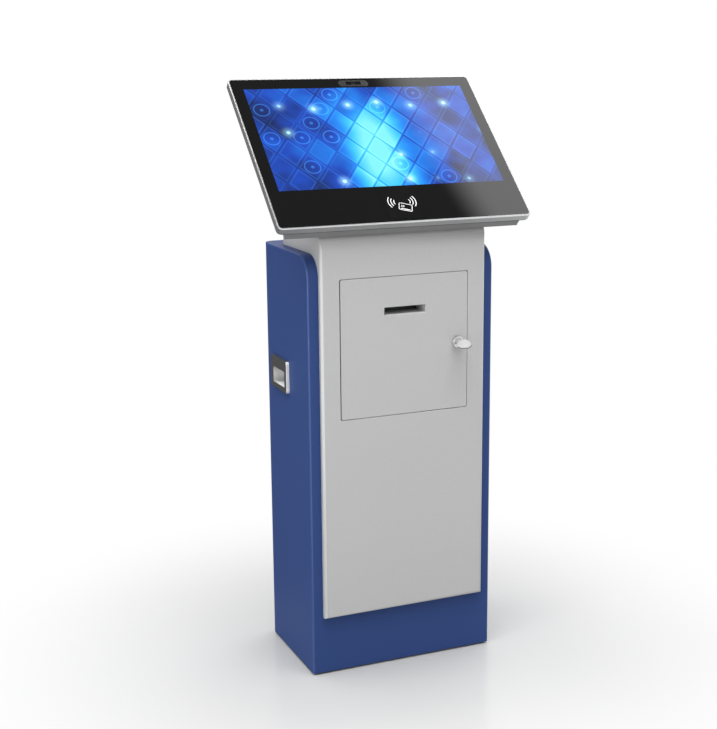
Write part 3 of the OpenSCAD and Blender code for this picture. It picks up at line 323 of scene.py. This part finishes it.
def thermal_paper():
    """Wound paper: its ends show the layers, its face is smooth."""
    made, f = material("thermal_paper")
    lo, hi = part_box("paper_roll")
    middle = (lo + hi) / 2
    x, y, z = f.place().parts()
    radius = ((y - middle.y) ** 2 + (z - middle.z) ** 2).root()
    layers = f.node("TexNoise", {"noise_dimensions": "1D"},
                    {"W": radius, "Scale": 2600.0, "Detail": 2.0}, out="Fac")
    ends = abs(x).ease(hi.x - 0.4 * MM, hi.x - 0.2 * MM)
    fibre = f.noise(900, 3)
    layer_height = 0.06 * MM
    f.surface({
        "Base Color": (1 + layers.swing(0.5) * ends + fibre.swing(0.05)) * (0.8, 0.79, 0.75),
        "Roughness": 0.62 + fibre.swing(0.15),
        "Normal": f.bump(layers * ends + fibre * 0.2, layer_height),
    })
    return made


def circuit_board():
    """Green solder mask over traces, with pale pads."""
    made, f = material("circuit_board")
    where = f.place()
    traces = f.node("TexBrick", {"offset": 0.37, "squash": 1.6}, {
        "Vector": where,
        "Scale": 120.0,
        "Mortar Size": 0.08,
        "Bias": -0.2,
        "Brick Width": 0.9,
        "Row Height": 0.35,
    }, out="Fac")
    from_pad = f.node("TexVoronoi", {"feature": "F1"}, {"Vector": where, "Scale": 150.0}, out="Distance")
    pad = from_pad.ease(0.2, 0.14)
    green = f.mix(traces, (0.012, 0.085, 0.035), (0.03, 0.16, 0.06))
    f.surface({
        "Base Color": f.mix(pad * 0.8, green, (0.55, 0.5, 0.38)),
        "Metallic": pad * 0.7,
        "Roughness": 0.45 - pad * 0.15,
    })
    return made


def grip_metal():
    """Flush handle of one satin metal: its plate is painted dark and its cup pale, as painted reflections,
    and painted shade dulls the cup towards its corners.
    """
    made, f = material("grip_metal")
    x, y, z = f.place().parts()
    lo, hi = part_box("handle_right")
    middle = (lo + hi) / 2
    beside = y - middle.y
    above = z - middle.z + CUP_DROP
    soft = 0.6 * MM
    inside = abs(beside).ease(CUP_HALF_WIDE + soft, CUP_HALF_WIDE)
    inside = inside * abs(above).ease(CUP_HALF_HIGH + soft, CUP_HALF_HIGH)
    cup = inside * abs(x).ease(hi.x - 0.6 * MM, hi.x - 2.2 * MM)
    # Painted shade: the cup's tone falls from its middle towards its corners
    painted_corner_shade = ((beside / CUP_HALF_WIDE) ** 2 + (above / CUP_HALF_HIGH) ** 2).ease(1.7, 0.2)
    pale = f.mix(painted_corner_shade, (0.5, 0.5, 0.5), (0.9, 0.9, 0.9))
    lines = f.noise(1100, 3, stretch=(1, 0.03, 1))
    cloud = f.noise(40, 2)
    tone = 1 + lines.swing(0.16) + cloud.swing(0.1)
    line_height = 0.03 * MM
    # Painted reflections: the plate dark and the cup pale, in one metal
    f.surface({
        "Base Color": f.mix(cup, (0.085, 0.085, 0.087), pale) * tone,
        "Metallic": 0.3 - cup * 0.3,
        "Roughness": 0.46 + lines.swing(0.15),
        "Specular IOR Level": 0.3,
        "Normal": f.bump(lines, line_height),
    })
    return made


def picture(f, across, up):
    """The lit picture: a lattice of lit tiles over a cyan glow, with rings in some tiles and sparks.

    Lengths are shares of half its height, from its middle.
    """
    half = (picture_high - picture_low) / 2
    x = across / half
    y = (up - (picture_low + picture_high) / 2) / half
    where = f.node("CombineXYZ", {}, {"X": x, "Y": y})
    haze = f.node("TexNoise", {"noise_dimensions": "2D"},
                  {"Vector": where, "Scale": 1.3, "Detail": 2.0}, out="Fac")

    def chance(column, row):
        """Three numbers that belong to one cell of a grid."""
        cell = f.node("CombineXYZ", {}, {"X": column, "Y": row})
        return f.node("TexWhiteNoise", {"noise_dimensions": "2D"}, {"Vector": cell}, out="Color").parts()

    # Diamond tiles, each with a brightness of its own, a dark joint and a lit rim
    tile = 0.46
    lean = 0.8
    rising = (x + y * lean) / tile
    falling = (x - y * lean) / tile
    in_rising = rising - rising.floor() - 0.5
    in_falling = falling - falling.floor() - 0.5
    bright, ringed, tone = chance(rising.floor(), falling.floor())
    joint = (0.5 - abs(in_rising)).least(0.5 - abs(in_falling))
    face = joint.ease(0.02, 0.07)
    rim = face - joint.ease(0.08, 0.14)

    # A ring and a dot in the middle of some tiles
    ring_radius = 0.12
    plain_share = 0.8
    off_x = (in_rising + in_falling) * (tile / 2)
    off_y = (in_rising - in_falling) * (tile / 2 / lean)
    from_middle = (off_x ** 2 + off_y ** 2).root()
    ring = abs(from_middle - ring_radius).ease(0.014, 0.006) + from_middle.ease(0.035, 0.02)
    ring = ring * (ringed > plain_share)

    # Glow behind the tiles, tall and low in the middle
    glow_x = -0.05
    glow_y = -0.4
    glow_wide = 0.5
    glow_tall = 1.3
    away = ((x - glow_x) / glow_wide) ** 2 + ((y - glow_y) / glow_tall) ** 2
    glow = 1 / (1 + away) ** 2

    # Sparks: one in some squares of a wide grid, kept off the square's edges so that no halo is cut
    square = 0.52
    square_rise = 0.3
    margin = 0.35
    play = 0.3
    # Squares are numbered apart from the tiles, so that their chances differ
    numbered_apart = 40
    column = x / square
    row = y / square + square_rise
    shift_x, shift_y, lit = chance(column.floor() + numbered_apart, row.floor())
    spark_x = column - column.floor() - margin - shift_x * play
    spark_y = row - row.floor() - margin - shift_y * play
    from_spark = (spark_x ** 2 + spark_y ** 2).root()
    halo = from_spark.ease(0.34, 0.0) ** 2 * 0.55
    spark = (from_spark.ease(0.075, 0.03) + halo) * lit.ease(0.5, 0.9)

    level = glow * (0.6 + bright) * (0.66 + face * 0.34)
    level = level + haze.ease(0.3, 0.75) * 0.15 + (tone - 0.3) * face * 0.16
    colour = f.node("ValToRGB", {"stops": (
        (0.0, (0.002, 0.01, 0.09, 1)),
        (0.14, (0.006, 0.065, 0.52, 1)),
        (0.36, (0.012, 0.26, 0.95, 1)),
        (0.58, (0.05, 0.62, 1.0, 1)),
        (0.9, (0.24, 0.94, 1.0, 1)),
    )}, {"Fac": level}, out="Color")
    line_colour = f.mix(glow, (0.05, 0.28, 0.8), (0.35, 0.95, 1.0))
    lines = line_colour * (ring * 0.45 + rim * (0.04 + bright * 0.16))
    return colour + lines + spark * (0.5, 0.95, 1.0)


def lit_glass():
    """Black printed glass with the lit picture showing through its clear window."""
    made, f = material("lit_glass")
    x, y, z = f.place().parts()
    up = (y - head_y) * math.cos(SCREEN_TILT) + (z - head_z) * math.sin(SCREEN_TILT)
    soft = 0.5 * MM
    window = abs(x).ease(picture_half + soft, picture_half) * up.ease(picture_low - soft, picture_low)
    window = window * up.ease(picture_high + soft, picture_high)
    smear = f.noise(9, 4, stretch=(1, 0.6, 0.6))
    f.surface({
        "Base Color": f.mix(window, (0.0035, 0.0035, 0.0037), (0.006, 0.008, 0.016)),
        "Roughness": 0.035 + smear.ease(0.45, 0.85) * 0.03,
        "Emission Color": picture(f, x, up) * window,
        "Emission Strength": 1.0,
    })
    return made


def dark_film(name, colour, roughness):
    """Smooth black film with faint wipe marks."""
    made, f = material(name)
    smear = f.noise(30, 4, stretch=(1, 0.5, 0.5))
    f.surface({
        "Base Color": (0.85 + smear * 0.3) * colour,
        "Roughness": roughness + smear.ease(0.4, 0.8) * 0.04,
    })
    return made


def display_case():
    """Brushed dark metal of the display's case."""
    made, f = material("display_case")
    brushed = f.noise(700, 3, stretch=(0.03, 1, 1))
    f.surface({
        "Base Color": f.mix(brushed, (0.1, 0.1, 0.105), (0.2, 0.2, 0.205)),
        "Metallic": 0.8,
        "Roughness": 0.4 + brushed.swing(0.2),
    })
    return made


def camera_window_glass():
    """Black window with the lens showing as a faint ring."""
    made, f = material("camera_window_glass")
    lo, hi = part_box("camera_window")
    middle = (lo + hi) / 2
    x, y, z = f.place().parts()
    radius = ((x - middle.x) ** 2 + (y - middle.y) ** 2 + (z - middle.z) ** 2).root()
    ring_radius = 3.0 * MM
    ring = abs(radius - ring_radius).ease(0.7 * MM, 0.3 * MM)
    eye = radius.ease(1.8 * MM, 1.2 * MM)
    f.surface({
        "Base Color": f.mix(ring * 0.5 + eye * 0.2, (0.003, 0.003, 0.004), (0.03, 0.033, 0.045)),
        "Roughness": 0.06 + ring * 0.1,
    })
    return made


def white_print():
    """White screen print with its fine dots."""
    made, f = material("white_print")
    dots = f.noise(1400, 2)
    f.surface({
        "Base Color": f.mix(dots, (0.62, 0.62, 0.62), (0.8, 0.8, 0.8)),
        "Roughness": 0.5 + dots.swing(0.1),
    })
    return made


BLUE = (0.028, 0.062, 0.205)
GREY = (0.5, 0.5, 0.502)
HOUSING_GREY_PAINTED_SHADE = (0.235, 0.235, 0.237)
DUCT_GREY_PAINTED_LIGHT = (0.58, 0.58, 0.582)
finishes = {
    "blue_paint": powder_coat("blue_powder_coat", BLUE, roughness=0.45, gloss=0.22, speckle=0.2),
    "grey_paint": powder_coat("grey_powder_coat", GREY, roughness=0.48, gloss=0.3, speckle=0.16, coat=0.4),
    "silver_frame": anodised("silver_frame", (0.5, 0.505, 0.51), roughness=0.36),
    "screen_glass": lit_glass(),
    "display": display_case(),
    "bright_steel": satin_steel("bright_steel", (0.72, 0.72, 0.725), roughness=0.28),
    "sheet_steel": zinc_sheet("zinc_sheet", (0.42, 0.43, 0.44)),
    "handle_metal": grip_metal(),
    "black_plastic": moulded("black_plastic", (0.02, 0.02, 0.021), roughness=0.5),
    "camera_trim": dark_film("camera_trim", (0.024, 0.024, 0.024), roughness=0.16),
    "camera_glass": camera_window_glass(),
    "reader_film": dark_film("reader_film", (0.0035, 0.0035, 0.0035), roughness=0.06),
    "circuit_board": circuit_board(),
    "printer_shell": moulded("printer_shell", (0.085, 0.087, 0.09), roughness=0.48),
    "roller_rubber": rubber(),
    "paper": thermal_paper(),
}
# Finishes for rounded edges: lighter copies that paint highlights where the edges catch the light, the
# frame's rim also a polished chamfer; and the key's cut sides, darker as painted shade
blue_painted_highlight = powder_coat("blue_painted_highlight", shade(BLUE, 1.25), roughness=0.3, gloss=0.5, speckle=0.2, coat=0.3)
grey_painted_highlight = powder_coat("grey_painted_highlight", (0.66, 0.66, 0.662), roughness=0.35, gloss=0.5, speckle=0.12, coat=1.0)
bright_rim_painted_highlight = anodised("bright_rim_painted_highlight", (0.8, 0.805, 0.81), roughness=0.38)
handle_painted_highlight = satin_steel("handle_painted_highlight", (0.97, 0.97, 0.96), roughness=0.3, metal=0.0)
key_painted_shade = satin_steel("key_painted_shade", (0.26, 0.26, 0.265), roughness=0.35)
sign_white = white_print()
# Nodes whose tone differs from the rest of their slot
own_finishes = {
    # The housing: a darker grey, partly its own tone and partly painted shade under the frame
    "head_housing": powder_coat("housing_coat_painted_shade", HOUSING_GREY_PAINTED_SHADE, roughness=0.5, gloss=0.3, speckle=0.2),
    # The slot's duct: a lighter copy of the grey paint, painted light inside the slot
    "slot_duct": powder_coat("duct_coat_painted_light", DUCT_GREY_PAINTED_LIGHT, roughness=0.45, gloss=0.4, speckle=0.12),
    "paper_chute": moulded("chute_plastic", (0.48, 0.48, 0.482), roughness=0.5),
    "key": satin_steel("key_plate", (0.68, 0.68, 0.685), roughness=0.3, metal=0.35),
}


def finish_of(node):
    """A node's own finish, or else its slot's."""
    return own_finishes.get(node) or finishes[slot_of_node[node]]


for node, cad in nodes.items():
    cad.data.materials.clear()
    cad.data.materials.append(finish_of(node))


def add_piece(name, mesh, body, made):
    """Adds a mesh as a piece that moves with a body and has the finish made."""
    piece = bpy.data.objects.new(name, mesh)
    bpy.context.scene.collection.objects.link(piece)
    mesh.materials.append(made)
    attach(piece, body)
    return piece


# How near a point is to the plane it lies on, and how near corners are that become one
NEAR = 0.02 * MM
WELD = 0.002 * MM
# Turns between faces: up to FLAT they become one face, over SHARP their edge is a sharp one
FLAT = math.radians(0.4)
SHARP = math.radians(35)
# Widths of the rounded edges
FRAME_ROUND = 2.0 * MM
SIDE_ROUND = 3 * MM
DOOR_ROUND = 1.0 * MM
OPENING_ROUND = 0.7 * MM
LOCK_ROUND = 1.2 * MM
KEY_ROUND = 0.35 * MM
PLATE_ROUND = 1.2 * MM
# The round corner of a side panel, the cover's opening and the front rim of a handle's plate
# lie within these of the panel's front edge, the door and the plate's front edge
SIDE_CORNER = 60 * MM
OPENING_REACH = 6 * MM
PLATE_RIM = 4 * MM
door_lo, door_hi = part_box("service_door")
cover_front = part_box("front_cover")[0].y
lock_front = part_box("lock_barrel")[0].y
key_flat = max(nodes["key"].data.polygons, key=lambda face: face.area).normal.copy()


def rounded(node, width, chosen, segments=3, edge_finish=None, on_edge=None):
    """Stands for a node with its chosen sharp edges rounded.

    The new round faces take edge_finish where one is given, or instead of them the faces that on_edge picks.
    """
    mesh = nodes[node].data.copy()
    mesh.materials.clear()
    work = bmesh.new()
    work.from_mesh(mesh)
    bmesh.ops.remove_doubles(work, verts=work.verts, dist=WELD)
    bmesh.ops.dissolve_limit(work, angle_limit=FLAT, verts=work.verts, edges=work.edges)
    picked = [
        edge for edge in work.edges
        if len(edge.link_faces) == 2 and edge.calc_face_angle_signed() > SHARP
        and chosen(edge.verts[0].co, edge.verts[1].co)
    ]
    bmesh.ops.bevel(work, geom=picked, offset=width, offset_type="OFFSET", segments=segments, profile=0.5,
                    affect="EDGES", clamp_overlap=False, material=1 if edge_finish else -1)
    for face in work.faces:
        face.smooth = True
        if on_edge:
            face.material_index = int(on_edge(face))
    work.to_mesh(mesh)
    work.free()
    mesh.name = node + "_rounded"
    mesh.set_sharp_from_angle(angle=SHARP)
    piece = add_piece(node + "_rounded", mesh, body_of_node[node], finish_of(node))
    if edge_finish:
        mesh.materials.append(edge_finish)
    steady = piece.modifiers.new("flat_faces_stay_flat", "WEIGHTED_NORMAL")
    steady.keep_sharp = True
    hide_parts(node)


def both(test):
    """Picks an edge by a test on each of its ends."""
    return lambda a, b: test(a) and test(b)


def close(value, target):
    return abs(value - target) < NEAR


def outer_x(node):
    """Where the outer face of a piece on the left or right side is."""
    lo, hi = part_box(node)
    return lo.x if hi.x < 0 else hi.x


def frame_rim(a, b):
    """The frame's outer edges on its face."""
    ends = (off_head @ a, off_head @ b)
    if not all(close(end.z, 0) for end in ends):
        return False
    inner_half = frame_hi.x - FRAME_LIP + NEAR
    inner_low = FRAME_LIP - NEAR
    inner_high = FRAME_LENGTH - FRAME_LIP + NEAR
    return not all(inner_low < end.y < inner_high and abs(end.x) < inner_half for end in ends)


def side_edges(node):
    """Front and top edges of a side panel's outer face."""
    lo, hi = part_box(node)
    outside = outer_x(node)

    def chosen(a, b):
        if not (close(a.x, outside) and close(b.x, outside)):
            return False
        if close(a.z, lo.z) and close(b.z, lo.z) or close(a.y, hi.y) and close(b.y, hi.y):
            return False
        return min(a.y, b.y) < lo.y + SIDE_CORNER or max(a.z, b.z) > hi.z - NEAR

    return chosen


def beside_door(point):
    """A point of the cover's face at the door's opening."""
    return (
        close(point.y, cover_front)
        and door_lo.x - OPENING_REACH < point.x < door_hi.x + OPENING_REACH
        and door_lo.z - OPENING_REACH < point.z < door_hi.z + OPENING_REACH
    )


def upright_edge(face):
    """The middle of the long rounded edges at the cover's sides, which take the painted highlight."""
    turned = -0.9 < face.normal.y < -0.4 and abs(face.normal.x) > 0.4
    return turned and abs(face.calc_center_median().x) > door_hi.x


def key_cut(face):
    """A face across the key's flats, which takes the painted shade."""
    return abs(face.normal.dot(key_flat)) < 0.5


def plate_front(node):
    """Picks the front rim of a handle's plate, which takes the painted highlight."""
    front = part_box(node)[0].y
    return lambda face: face.normal.y < -0.3 and face.calc_center_median().y < front + PLATE_RIM


# The frame's rim: a polished chamfer, made lighter as a painted highlight
rounded("head_frame", FRAME_ROUND, frame_rim, segments=4, edge_finish=bright_rim_painted_highlight)
for side in ("side_panel_left", "side_panel_right"):
    rounded(side, SIDE_ROUND, side_edges(side), segments=4, edge_finish=blue_painted_highlight)
rounded("service_door", DOOR_ROUND, both(lambda point: close(point.y, door_lo.y)))
rounded("front_cover", OPENING_ROUND, both(beside_door), edge_finish=grey_painted_highlight, on_edge=upright_edge)
rounded("lock_barrel", LOCK_ROUND, both(lambda point: close(point.y, lock_front)))
rounded("key", KEY_ROUND, lambda a, b: True, segments=2, edge_finish=key_painted_shade, on_edge=key_cut)
for side in ("handle_left", "handle_right"):
    outside = outer_x(side)
    rounded(side, PLATE_ROUND, both(lambda point: close(point.x, outside)),
            edge_finish=handle_painted_highlight, on_edge=plate_front(side))


def ribbon(name, points, width, made, middle, base, thick, closed=False):
    """A thin strip on the screen's slope, from base up by thick.

    Its points and width are in millimetres, its points about the place middle up the slope.
    """
    work = bmesh.new()
    count = len(points)
    rows = []
    for i, point in enumerate(points):
        before = points[(i - 1) % count] if closed or i else point
        after = points[(i + 1) % count] if closed or i < count - 1 else point
        along = Vector((after[0] - before[0], after[1] - before[1])).normalized()
        out = Vector((-along.y, along.x)) * (width / 2)
        row = []
        for height in (base, base + thick):
            for way in (-1, 1):
                flat = Vector((point[0] + way * out.x, point[1] + way * out.y)) * MM
                row.append(work.verts.new(on_head @ Vector((flat.x, middle + flat.y, height))))
        rows.append(row)
    following = rows[1:] + rows[:1] if closed else rows[1:]
    for near, far in zip(rows, following):
        for i, j in ((0, 1), (1, 3), (3, 2), (2, 0)):
            work.faces.new((near[i], near[j], far[j], far[i]))
    if not closed:
        work.faces.new([rows[0][i] for i in (0, 2, 3, 1)])
        work.faces.new([rows[-1][i] for i in (0, 1, 3, 2)])
    bmesh.ops.recalc_face_normals(work, faces=work.faces)
    mesh = bpy.data.meshes.new(name)
    work.to_mesh(mesh)
    work.free()
    add_piece(name, mesh, "cabinet", made)


def arc(middle, radius, first, last, steps):
    """Points on a circle between two angles."""
    turns = [math.radians(first + (last - first) * i / steps) for i in range(steps + 1)]
    return [(middle[0] + radius * math.cos(turn), middle[1] + radius * math.sin(turn)) for turn in turns]


def round_box(middle, width, height, radius, turn=0):
    """Points round a box with round corners, turned about its middle."""
    corners = []
    for i, (way_x, way_y) in enumerate(((1, 1), (-1, 1), (-1, -1), (1, -1))):
        corner = (way_x * (width / 2 - radius), way_y * (height / 2 - radius))
        corners += arc(corner, radius, 90 * i, 90 * i + 90, steps=4)
    cos = math.cos(math.radians(turn))
    sin = math.sin(math.radians(turn))
    return [(middle[0] + cos * x - sin * y, middle[1] + sin * x + cos * y) for x, y in corners]


# Reader sign: a card between waves in thin white print, in millimetres about the middle of its field
SIGN_THICK = 0.15 * MM
CARD_TURN = -18
CARD_LINE = 1.3
CHIP_LINE = 1.0
STRIPE_LINE = 1.8
WAVE_LINE = 1.7
WAVE_OUT = 9
WAVE_UP = 5
WAVE_REACH = 40
pad_points = [off_head @ vertex.co for vertex in nodes["reader_pad"].data.vertices]
pad_top = max(point.z for point in pad_points)
pad_middle = (min(point.y for point in pad_points) + max(point.y for point in pad_points)) / 2


def printed(name, points, width, closed=False):
    """A printed line of the reader's sign."""
    ribbon(name, points, width, sign_white, pad_middle, pad_top, SIGN_THICK, closed)


card = round_box(middle=(3, -9), width=26, height=17, radius=2.5, turn=CARD_TURN)
chip = round_box(middle=(-2, -6), width=5, height=4, radius=1, turn=CARD_TURN)
printed("sign_card", card, CARD_LINE, closed=True)
printed("sign_chip", chip, CHIP_LINE, closed=True)
printed("sign_stripe", [(-7, -11.3), (11, -17.1)], STRIPE_LINE)
for i, radius in enumerate((8, 14, 20)):
    left = arc((-WAVE_OUT, WAVE_UP), radius, 180 - WAVE_REACH, 180 + WAVE_REACH, steps=14)
    right = arc((WAVE_OUT, WAVE_UP), radius, -WAVE_REACH, WAVE_REACH, steps=14)
    printed(f"sign_wave_left_{i}", left, WAVE_LINE)
    printed(f"sign_wave_right_{i}", right, WAVE_LINE)

# Rubber seal between the frame and the flange of the housing behind it, in millimetres; its black also paints
# the shade line between frame and housing
FLANGE_INSET = 3
SEAL_WIDTH = 1.6
SEAL_THICK = 2.8
SEAL_CORNER = 7.8
# Its upper run is set down, so that it stays in front of the frame's back corner
SEAL_DROP = 1.3
seal_wide = 2 * (frame_hi.x / MM - FLANGE_INSET) + SEAL_WIDTH
seal_high = FRAME_LENGTH / MM - 2 * FLANGE_INSET + SEAL_WIDTH - SEAL_DROP
ribbon("head_seal_and_painted_shade", round_box((0, 0), seal_wide, seal_high, SEAL_CORNER), SEAL_WIDTH,
       finishes["roller_rubber"],
       middle=(FRAME_LENGTH - SEAL_DROP * MM) / 2,
       base=-FRAME_DEPTH - SEAL_THICK * MM,
       thick=SEAL_THICK * MM,
       closed=True)

# Gloss sees white all round, but for a dark flag at the back left and a dark ceiling
FLAG_WAY = (-0.75, 0.66)
# The same tone paints shade on the floor near the object, where it is mirrored
FLAG_AND_PAINTED_SHADE_TONE = (0.14, 0.14, 0.14)


def rays(f):
    """Whether a ray comes from the camera or through glass, and whether it is mirrored."""
    kinds = ("Is Camera Ray", "Is Transmission Ray", "Is Glossy Ray")
    camera_ray, through, mirrored = (f.node("LightPath", {}, {}, out=kind) for kind in kinds)
    return (camera_ray + through).least(1.0), mirrored


def on_flag(x, y):
    """How far a direction points at the flag."""
    return (x * FLAG_WAY[0] + y * FLAG_WAY[1]).ease(0.2, 0.75)


# The floor turns white between these distances from the object's middle
WHITE_FROM = 0.3
WHITE_BY = 0.95


def floor_finish():
    """Pale studio floor that runs out into white away from the object."""
    made, f = material("studio_floor")
    x, y, _ = f.place().parts()
    far = (x ** 2 + y ** 2).root()
    scuff = f.noise(2.5, 3)
    seen, mirrored = rays(f)
    near = f.node("BsdfPrincipled", {}, {
        "Base Color": f.mix(scuff, (0.405, 0.405, 0.407), (0.425, 0.425, 0.426)),
        "Roughness": 0.2 + scuff.swing(0.05),
        "Specular IOR Level": 0.2,
    }, out="BSDF")
    white = f.node("Emission", {}, {"Color": WHITE}, out="Emission")
    dark = f.node("Emission", {}, {"Color": FLAG_AND_PAINTED_SHADE_TONE}, out="Emission")
    whitened = far.ease(WHITE_FROM, WHITE_BY) * (seen + mirrored)
    open_floor = f.node("MixShader", {}, {0: whitened, 1: near, 2: white}, out="Shader")
    # Mirrored rays see the flag's side of the floor dark, and the floor close to the object as painted shade
    flag_and_painted_shade = on_flag(x / far, y / far) * far.ease(0.22, 0.5)
    flag_and_painted_shade = mirrored * flag_and_painted_shade.most(far.ease(1.1, 0.5) * 0.7)
    floor_shader = f.node("MixShader", {}, {0: flag_and_painted_shade, 1: open_floor, 2: dark}, out="Shader")
    f.node("OutputMaterial", {}, {"Surface": floor_shader})
    return made


FLOOR_HALF = 14.0
floor_corners = [(x * FLOOR_HALF, y * FLOOR_HALF, 0) for x, y in ((-1, -1), (1, -1), (1, 1), (-1, 1))]
floor_mesh = bpy.data.meshes.new("floor")
floor_mesh.from_pydata(floor_corners, [], [(0, 1, 2, 3)])
floor_mesh.materials.append(floor_finish())
floor = bpy.data.objects.new("floor", floor_mesh)
bpy.context.scene.collection.objects.link(floor)

# The dome's light, for what isn't seen or mirrored: more from above than from the sides
HORIZON = (0.12, 0.12, 0.12)
ZENITH = (2.85, 2.85, 2.85)


def studio_world():
    """White where the background is seen, the flag and ceiling where it is mirrored, and else the dome."""
    made = bpy.data.worlds.new("studio")
    made.use_nodes = True
    f = Finish(made.node_tree)
    seen, mirrored = rays(f)
    x, y, z = f.node("TexCoord", {}, {}, out="Generated").parts()
    dark = on_flag(x, y).most(z.ease(0.25, 0.7))
    gloss = f.mix(dark, WHITE, FLAG_AND_PAINTED_SHADE_TONE)
    dome = f.mix(z.most(0.0) ** 2, HORIZON, ZENITH)
    sky = f.mix(seen, f.mix(mirrored, dome, gloss), WHITE)
    background = f.node("Background", {}, {"Color": sky}, out="Background")
    f.node("OutputWorld", {}, {"Surface": background})
    return made


bpy.context.scene.world = studio_world()


def softbox(name, place, aim, size, power, spin=0.0, fade=0.0, glare=True):
    """An area lamp that dims at one side over a share of its width, and is mirrored only with glare."""
    lamp = bpy.data.lights.new(name, "AREA")
    lamp.shape = "RECTANGLE"
    lamp.size, lamp.size_y = size
    lamp.energy = power
    if fade:
        lamp.use_nodes = True
        f = Finish(lamp.node_tree)
        across = f.node("NewGeometry", {}, {}, out="Parametric").parts()[0]
        glow = f.node("Emission", {}, {"Strength": across.ease(1.0, 1.0 - fade)}, out="Emission")
        f.node("OutputLight", {}, {"Surface": glow})
    made = bpy.data.objects.new(name, lamp)
    made.visible_camera = False
    made.visible_glossy = glare
    bpy.context.scene.collection.objects.link(made)
    away = (Vector(place) - Vector(aim)).normalized()
    turn = away.to_track_quat("Z", "Y").to_matrix().to_4x4() @ Matrix.Rotation(math.radians(spin), 4, "Z")
    made.matrix_world = Matrix.Translation(place) @ turn


# Light from above the front
softbox("front_top_softbox", (-0.35, -1.1, 3.8), (-0.2, -0.3, 0.5), (2.6, 1.4), 71, glare=False)
# A strip that draws bright lines along the rounded edges, and a fill for the side behind it
softbox("edge_softbox", (-2.6, -1.1, 1.0), (0, 0, 0.6), (0.21, 2.0), 18)
softbox("side_softbox", (-2.8, 0.7, 1.2), (-0.2, 0.05, 0.6), (0.8, 1.8), 7.5, glare=False)
# The pale reflection on the right of the glass, with a soft edge
softbox("top_softbox", (1.382, 0.322, 3.0), (1.382, 0.322, 0), (1.0, 2.4), 19.4, spin=34.6, fade=0.144)
softbox("back_softbox", (1.8, 1.9, 2.4), (0, 0, 0.6), (1.8, 1.8), 14)
softbox("left_top_softbox", (-1.0, 0.6, 3.0), (-0.2, 0.1, 0.8), (0.8, 0.8), 9)

# Camera at the photograph's viewing angle
CAMERA_PLACE = Vector((-1.1023, -2.4931, 1.2148))
CAMERA_TURN = math.radians(22.80)
CAMERA_DOWN = math.radians(12.60)
CAMERA_ROLL = math.radians(-0.53)
CAMERA_LENS = 67.83
SENSOR_WIDTH = 36
lens = bpy.data.cameras.new("camera")
lens.lens = CAMERA_LENS
lens.sensor_width = SENSOR_WIDTH
camera = bpy.data.objects.new("camera", lens)
bpy.context.scene.collection.objects.link(camera)
camera.matrix_world = (
    Matrix.Translation(CAMERA_PLACE) @ Matrix.Rotation(-CAMERA_TURN, 4, "Z")
    @ Matrix.Rotation(math.pi / 2 - CAMERA_DOWN, 4, "X") @ Matrix.Rotation(CAMERA_ROLL, 4, "Z")
)
bpy.context.scene.camera = camera
